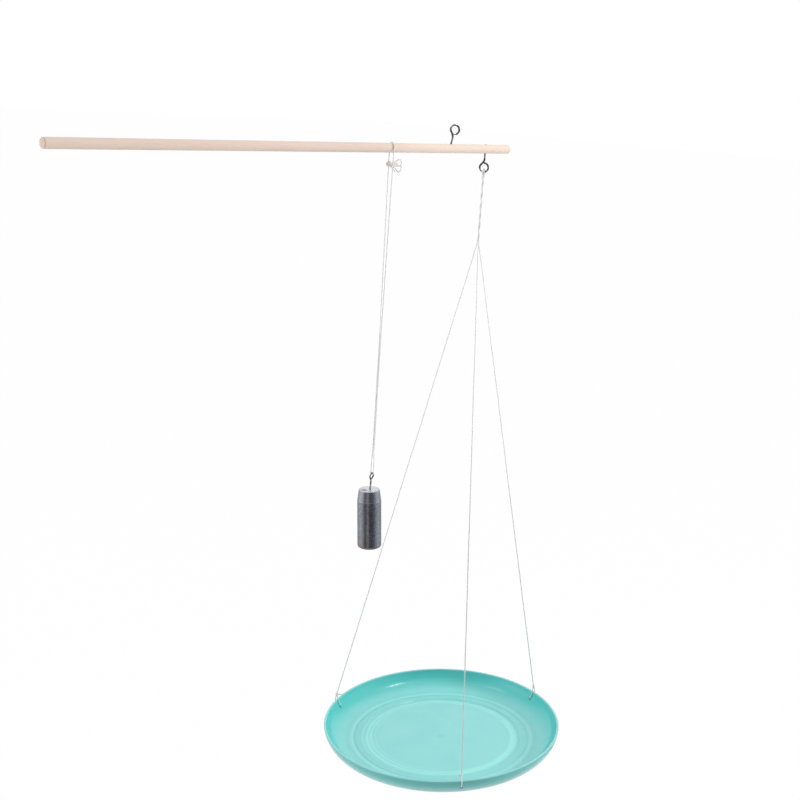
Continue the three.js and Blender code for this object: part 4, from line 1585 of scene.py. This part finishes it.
studio = {
    "floorZ": -620,
    "floorSize": 30000,
    "floorColour": colour(0.9, 0.9, 0.9),
    "floorGlow": 0.985,  # what is left shows the shadow
    "ambient": 0.45,
    "ambientColour": colour(1.0, 1.0, 1.0),
    "white": 1.0,  # how strong the glow of the world, floor and card is where it is seen
    "lamps": (
        # name, place, aimed at, width, height, power, colour, seen in gloss
        ("top", (250, 250, 1500), (0, 0, -200), 1200, 1200, 2, (1.0, 1.0, 1.0), False),
        ("right", (1150, -1050, 480), (0, 0, -120), 420, 500, 16, (1.0, 0.995, 0.99), False),
        ("left", (-1350, 1150, 100), (0, 0, -250), 900, 900, 13, (0.98, 0.99, 1.0), False),
        ("strip", (300, -490, 860), (50, 65, -374), 250, 120, 2.0, (1.0, 1.0, 1.0), True),
        ("small", (-380, 590, 680), (95, 8, -370), 320, 120, 0.8, (1.0, 1.0, 1.0), True),
    ),
}


def seenShare(s):
    # 1 for what the camera, gloss and glass see, and 0 for light that falls
    camera, gloss, glass = (
        s.node("ShaderNodeLightPath", output=ray)
        for ray in ("Is Camera Ray", "Is Glossy Ray", "Is Transmission Ray")
    )
    return camera.maths("MAXIMUM", camera.maths("MAXIMUM", camera, gloss), glass)


def setWorld():
    # dim light that falls, and white where it is seen
    s = Shading(bpy.data.worlds.new("studio"))
    tint = studio["ambientColour"]
    light, white = (
        s.node("ShaderNodeBackground", None, {"Color": tint, "Strength": strength})
        for strength in (studio["ambient"], studio["white"])
    )
    mixed = s.node("ShaderNodeMixShader", None, {0: seenShare(s), 1: light, 2: white})
    bpy.context.scene.world = s.output(mixed, "ShaderNodeOutputWorld")


def floorMaterial():
    # paper that light falls on, and nearly white where it is seen
    s = newShading("floorPaper")
    paper = s.node("ShaderNodeBsdfDiffuse", None, {"Color": studio["floorColour"]})
    glow = s.node("ShaderNodeEmission", None, {"Strength": studio["white"]})
    share = seenShare(s) * studio["floorGlow"]
    return s.output(s.node("ShaderNodeMixShader", None, {0: share, 1: paper, 2: glow}))


def cardMaterial():
    # glows in the tint that the card's mesh carries: painted reflections, no lamp
    s = newShading("reflectionCardGlow")
    inputs = {"Color": s.attribute("tint", "Color"), "Strength": studio["white"]}
    return s.output(s.node("ShaderNodeEmission", None, inputs))


def makeStage(name, mesh, material):
    # something of the studio, which isn't part of the object
    mesh.materials.append(material)
    made = bpy.data.objects.new(name, mesh)
    bpy.context.scene.collection.objects.link(made)
    return made


def setFloor():
    # one wide level square
    half, z = studio["floorSize"] / 2, studio["floorZ"]
    corners = [(-half, -half, z), (half, -half, z), (half, half, z), (-half, half, z)]
    mesh = bpy.data.meshes.new("floor")
    mesh.from_pydata([[x * mm for x in corner] for corner in corners], [], [(0, 1, 2, 3)])
    makeStage("floor", mesh, floorMaterial())


card = {
    "tints": (
        # degrees from the way to the camera, then what the metal sees there
        (-142, 0.5, 0.5, 0.5), (-124, 0.62, 0.62, 0.62), (-108, 0.95, 0.95, 0.95),
        (-90, 0.97, 0.97, 0.97), (-77, 0.88, 0.88, 0.88),
        (-66, 0.72, 0.72, 0.72), (-54, 0.42, 0.42, 0.43), (-44, 0.17, 0.17, 0.18),
        (-27, 0.12, 0.12, 0.13), (-22, 0.55, 0.45, 0.41), (-7, 0.55, 0.45, 0.41),
        (-2, 0.12, 0.12, 0.13), (30, 0.13, 0.13, 0.15), (44, 0.18, 0.18, 0.21),
        (55, 0.34, 0.34, 0.36), (66, 0.54, 0.54, 0.55), (77, 0.70, 0.70, 0.70),
        (90, 0.84, 0.84, 0.84), (104, 0.86, 0.86, 0.86), (124, 0.55, 0.55, 0.55),
        (142, 0.45, 0.45, 0.45),
    ),
    "columns": 161,
    "radius": 450,
    "bottom": -600,
    "top": 500,
}


def setCard():
    # the camera side of the studio as an upright arc round the weight that only reflections see: a
    # sheet that glows though it is no lamp, its dark, bright and brown bands painted reflections,
    # its tint read off the table by the angle
    toCamera = math.atan2(view["place"][1], view["place"][0] - layout["loadX"])
    table = np.array(card["tints"])
    degrees = np.linspace(table[0, 0], table[-1, 0], card["columns"])
    tint = np.stack([np.interp(degrees, table[:, 0], table[:, k]) for k in (1, 2, 3)], axis=1)
    at = toCamera + np.radians(degrees)
    arc = np.stack([np.cos(at), np.sin(at), 0 * at], axis=1) * card["radius"]
    arc += [layout["loadX"], 0, 0]
    points = np.vstack([arc + [0, 0, card["bottom"]], arc + [0, 0, card["top"]]])
    i, n = np.arange(len(at) - 1), len(at)
    faces = np.stack([i, i + 1, i + 1 + n, i + n], axis=1)
    mesh = bpy.data.meshes.new("reflection_card")
    mesh.from_pydata((points * mm).tolist(), [], faces.tolist())
    colours = np.concatenate([np.vstack([tint, tint]), np.ones((2 * n, 1))], axis=1)
    attribute = mesh.attributes.new("tint", "FLOAT_COLOR", "POINT")
    attribute.data.foreach_set("color", colours.astype(np.float32).ravel())
    shade = makeStage("reflection_card", mesh, cardMaterial())
    shade.visible_camera = False
    shade.visible_diffuse = False
    shade.visible_shadow = False
    shade.visible_transmission = False


def setLamps():
    # rectangles of light, each turned to what it is aimed at
    for name, place, target, width, height, power, tint, inGloss in studio["lamps"]:
        data = bpy.data.lights.new(name + "_lamp", "AREA")
        data.shape, data.size, data.size_y = "RECTANGLE", width * mm, height * mm
        data.energy, data.color = power, tint
        lamp = bpy.data.objects.new(name + "_lamp", data)
        place = Vector([x * mm for x in place])
        lamp.location = place
        aim = Vector([x * mm for x in target]) - place
        lamp.rotation_euler = aim.to_track_quat("-Z", "Y").to_euler()
        lamp.visible_camera = False
        lamp.visible_glossy = inGloss
        bpy.context.scene.collection.objects.link(lamp)


setFloor()
setWorld()
setCard()
setLamps()
bpy.context.scene.view_settings.view_transform = "Standard"
print("studio lit")
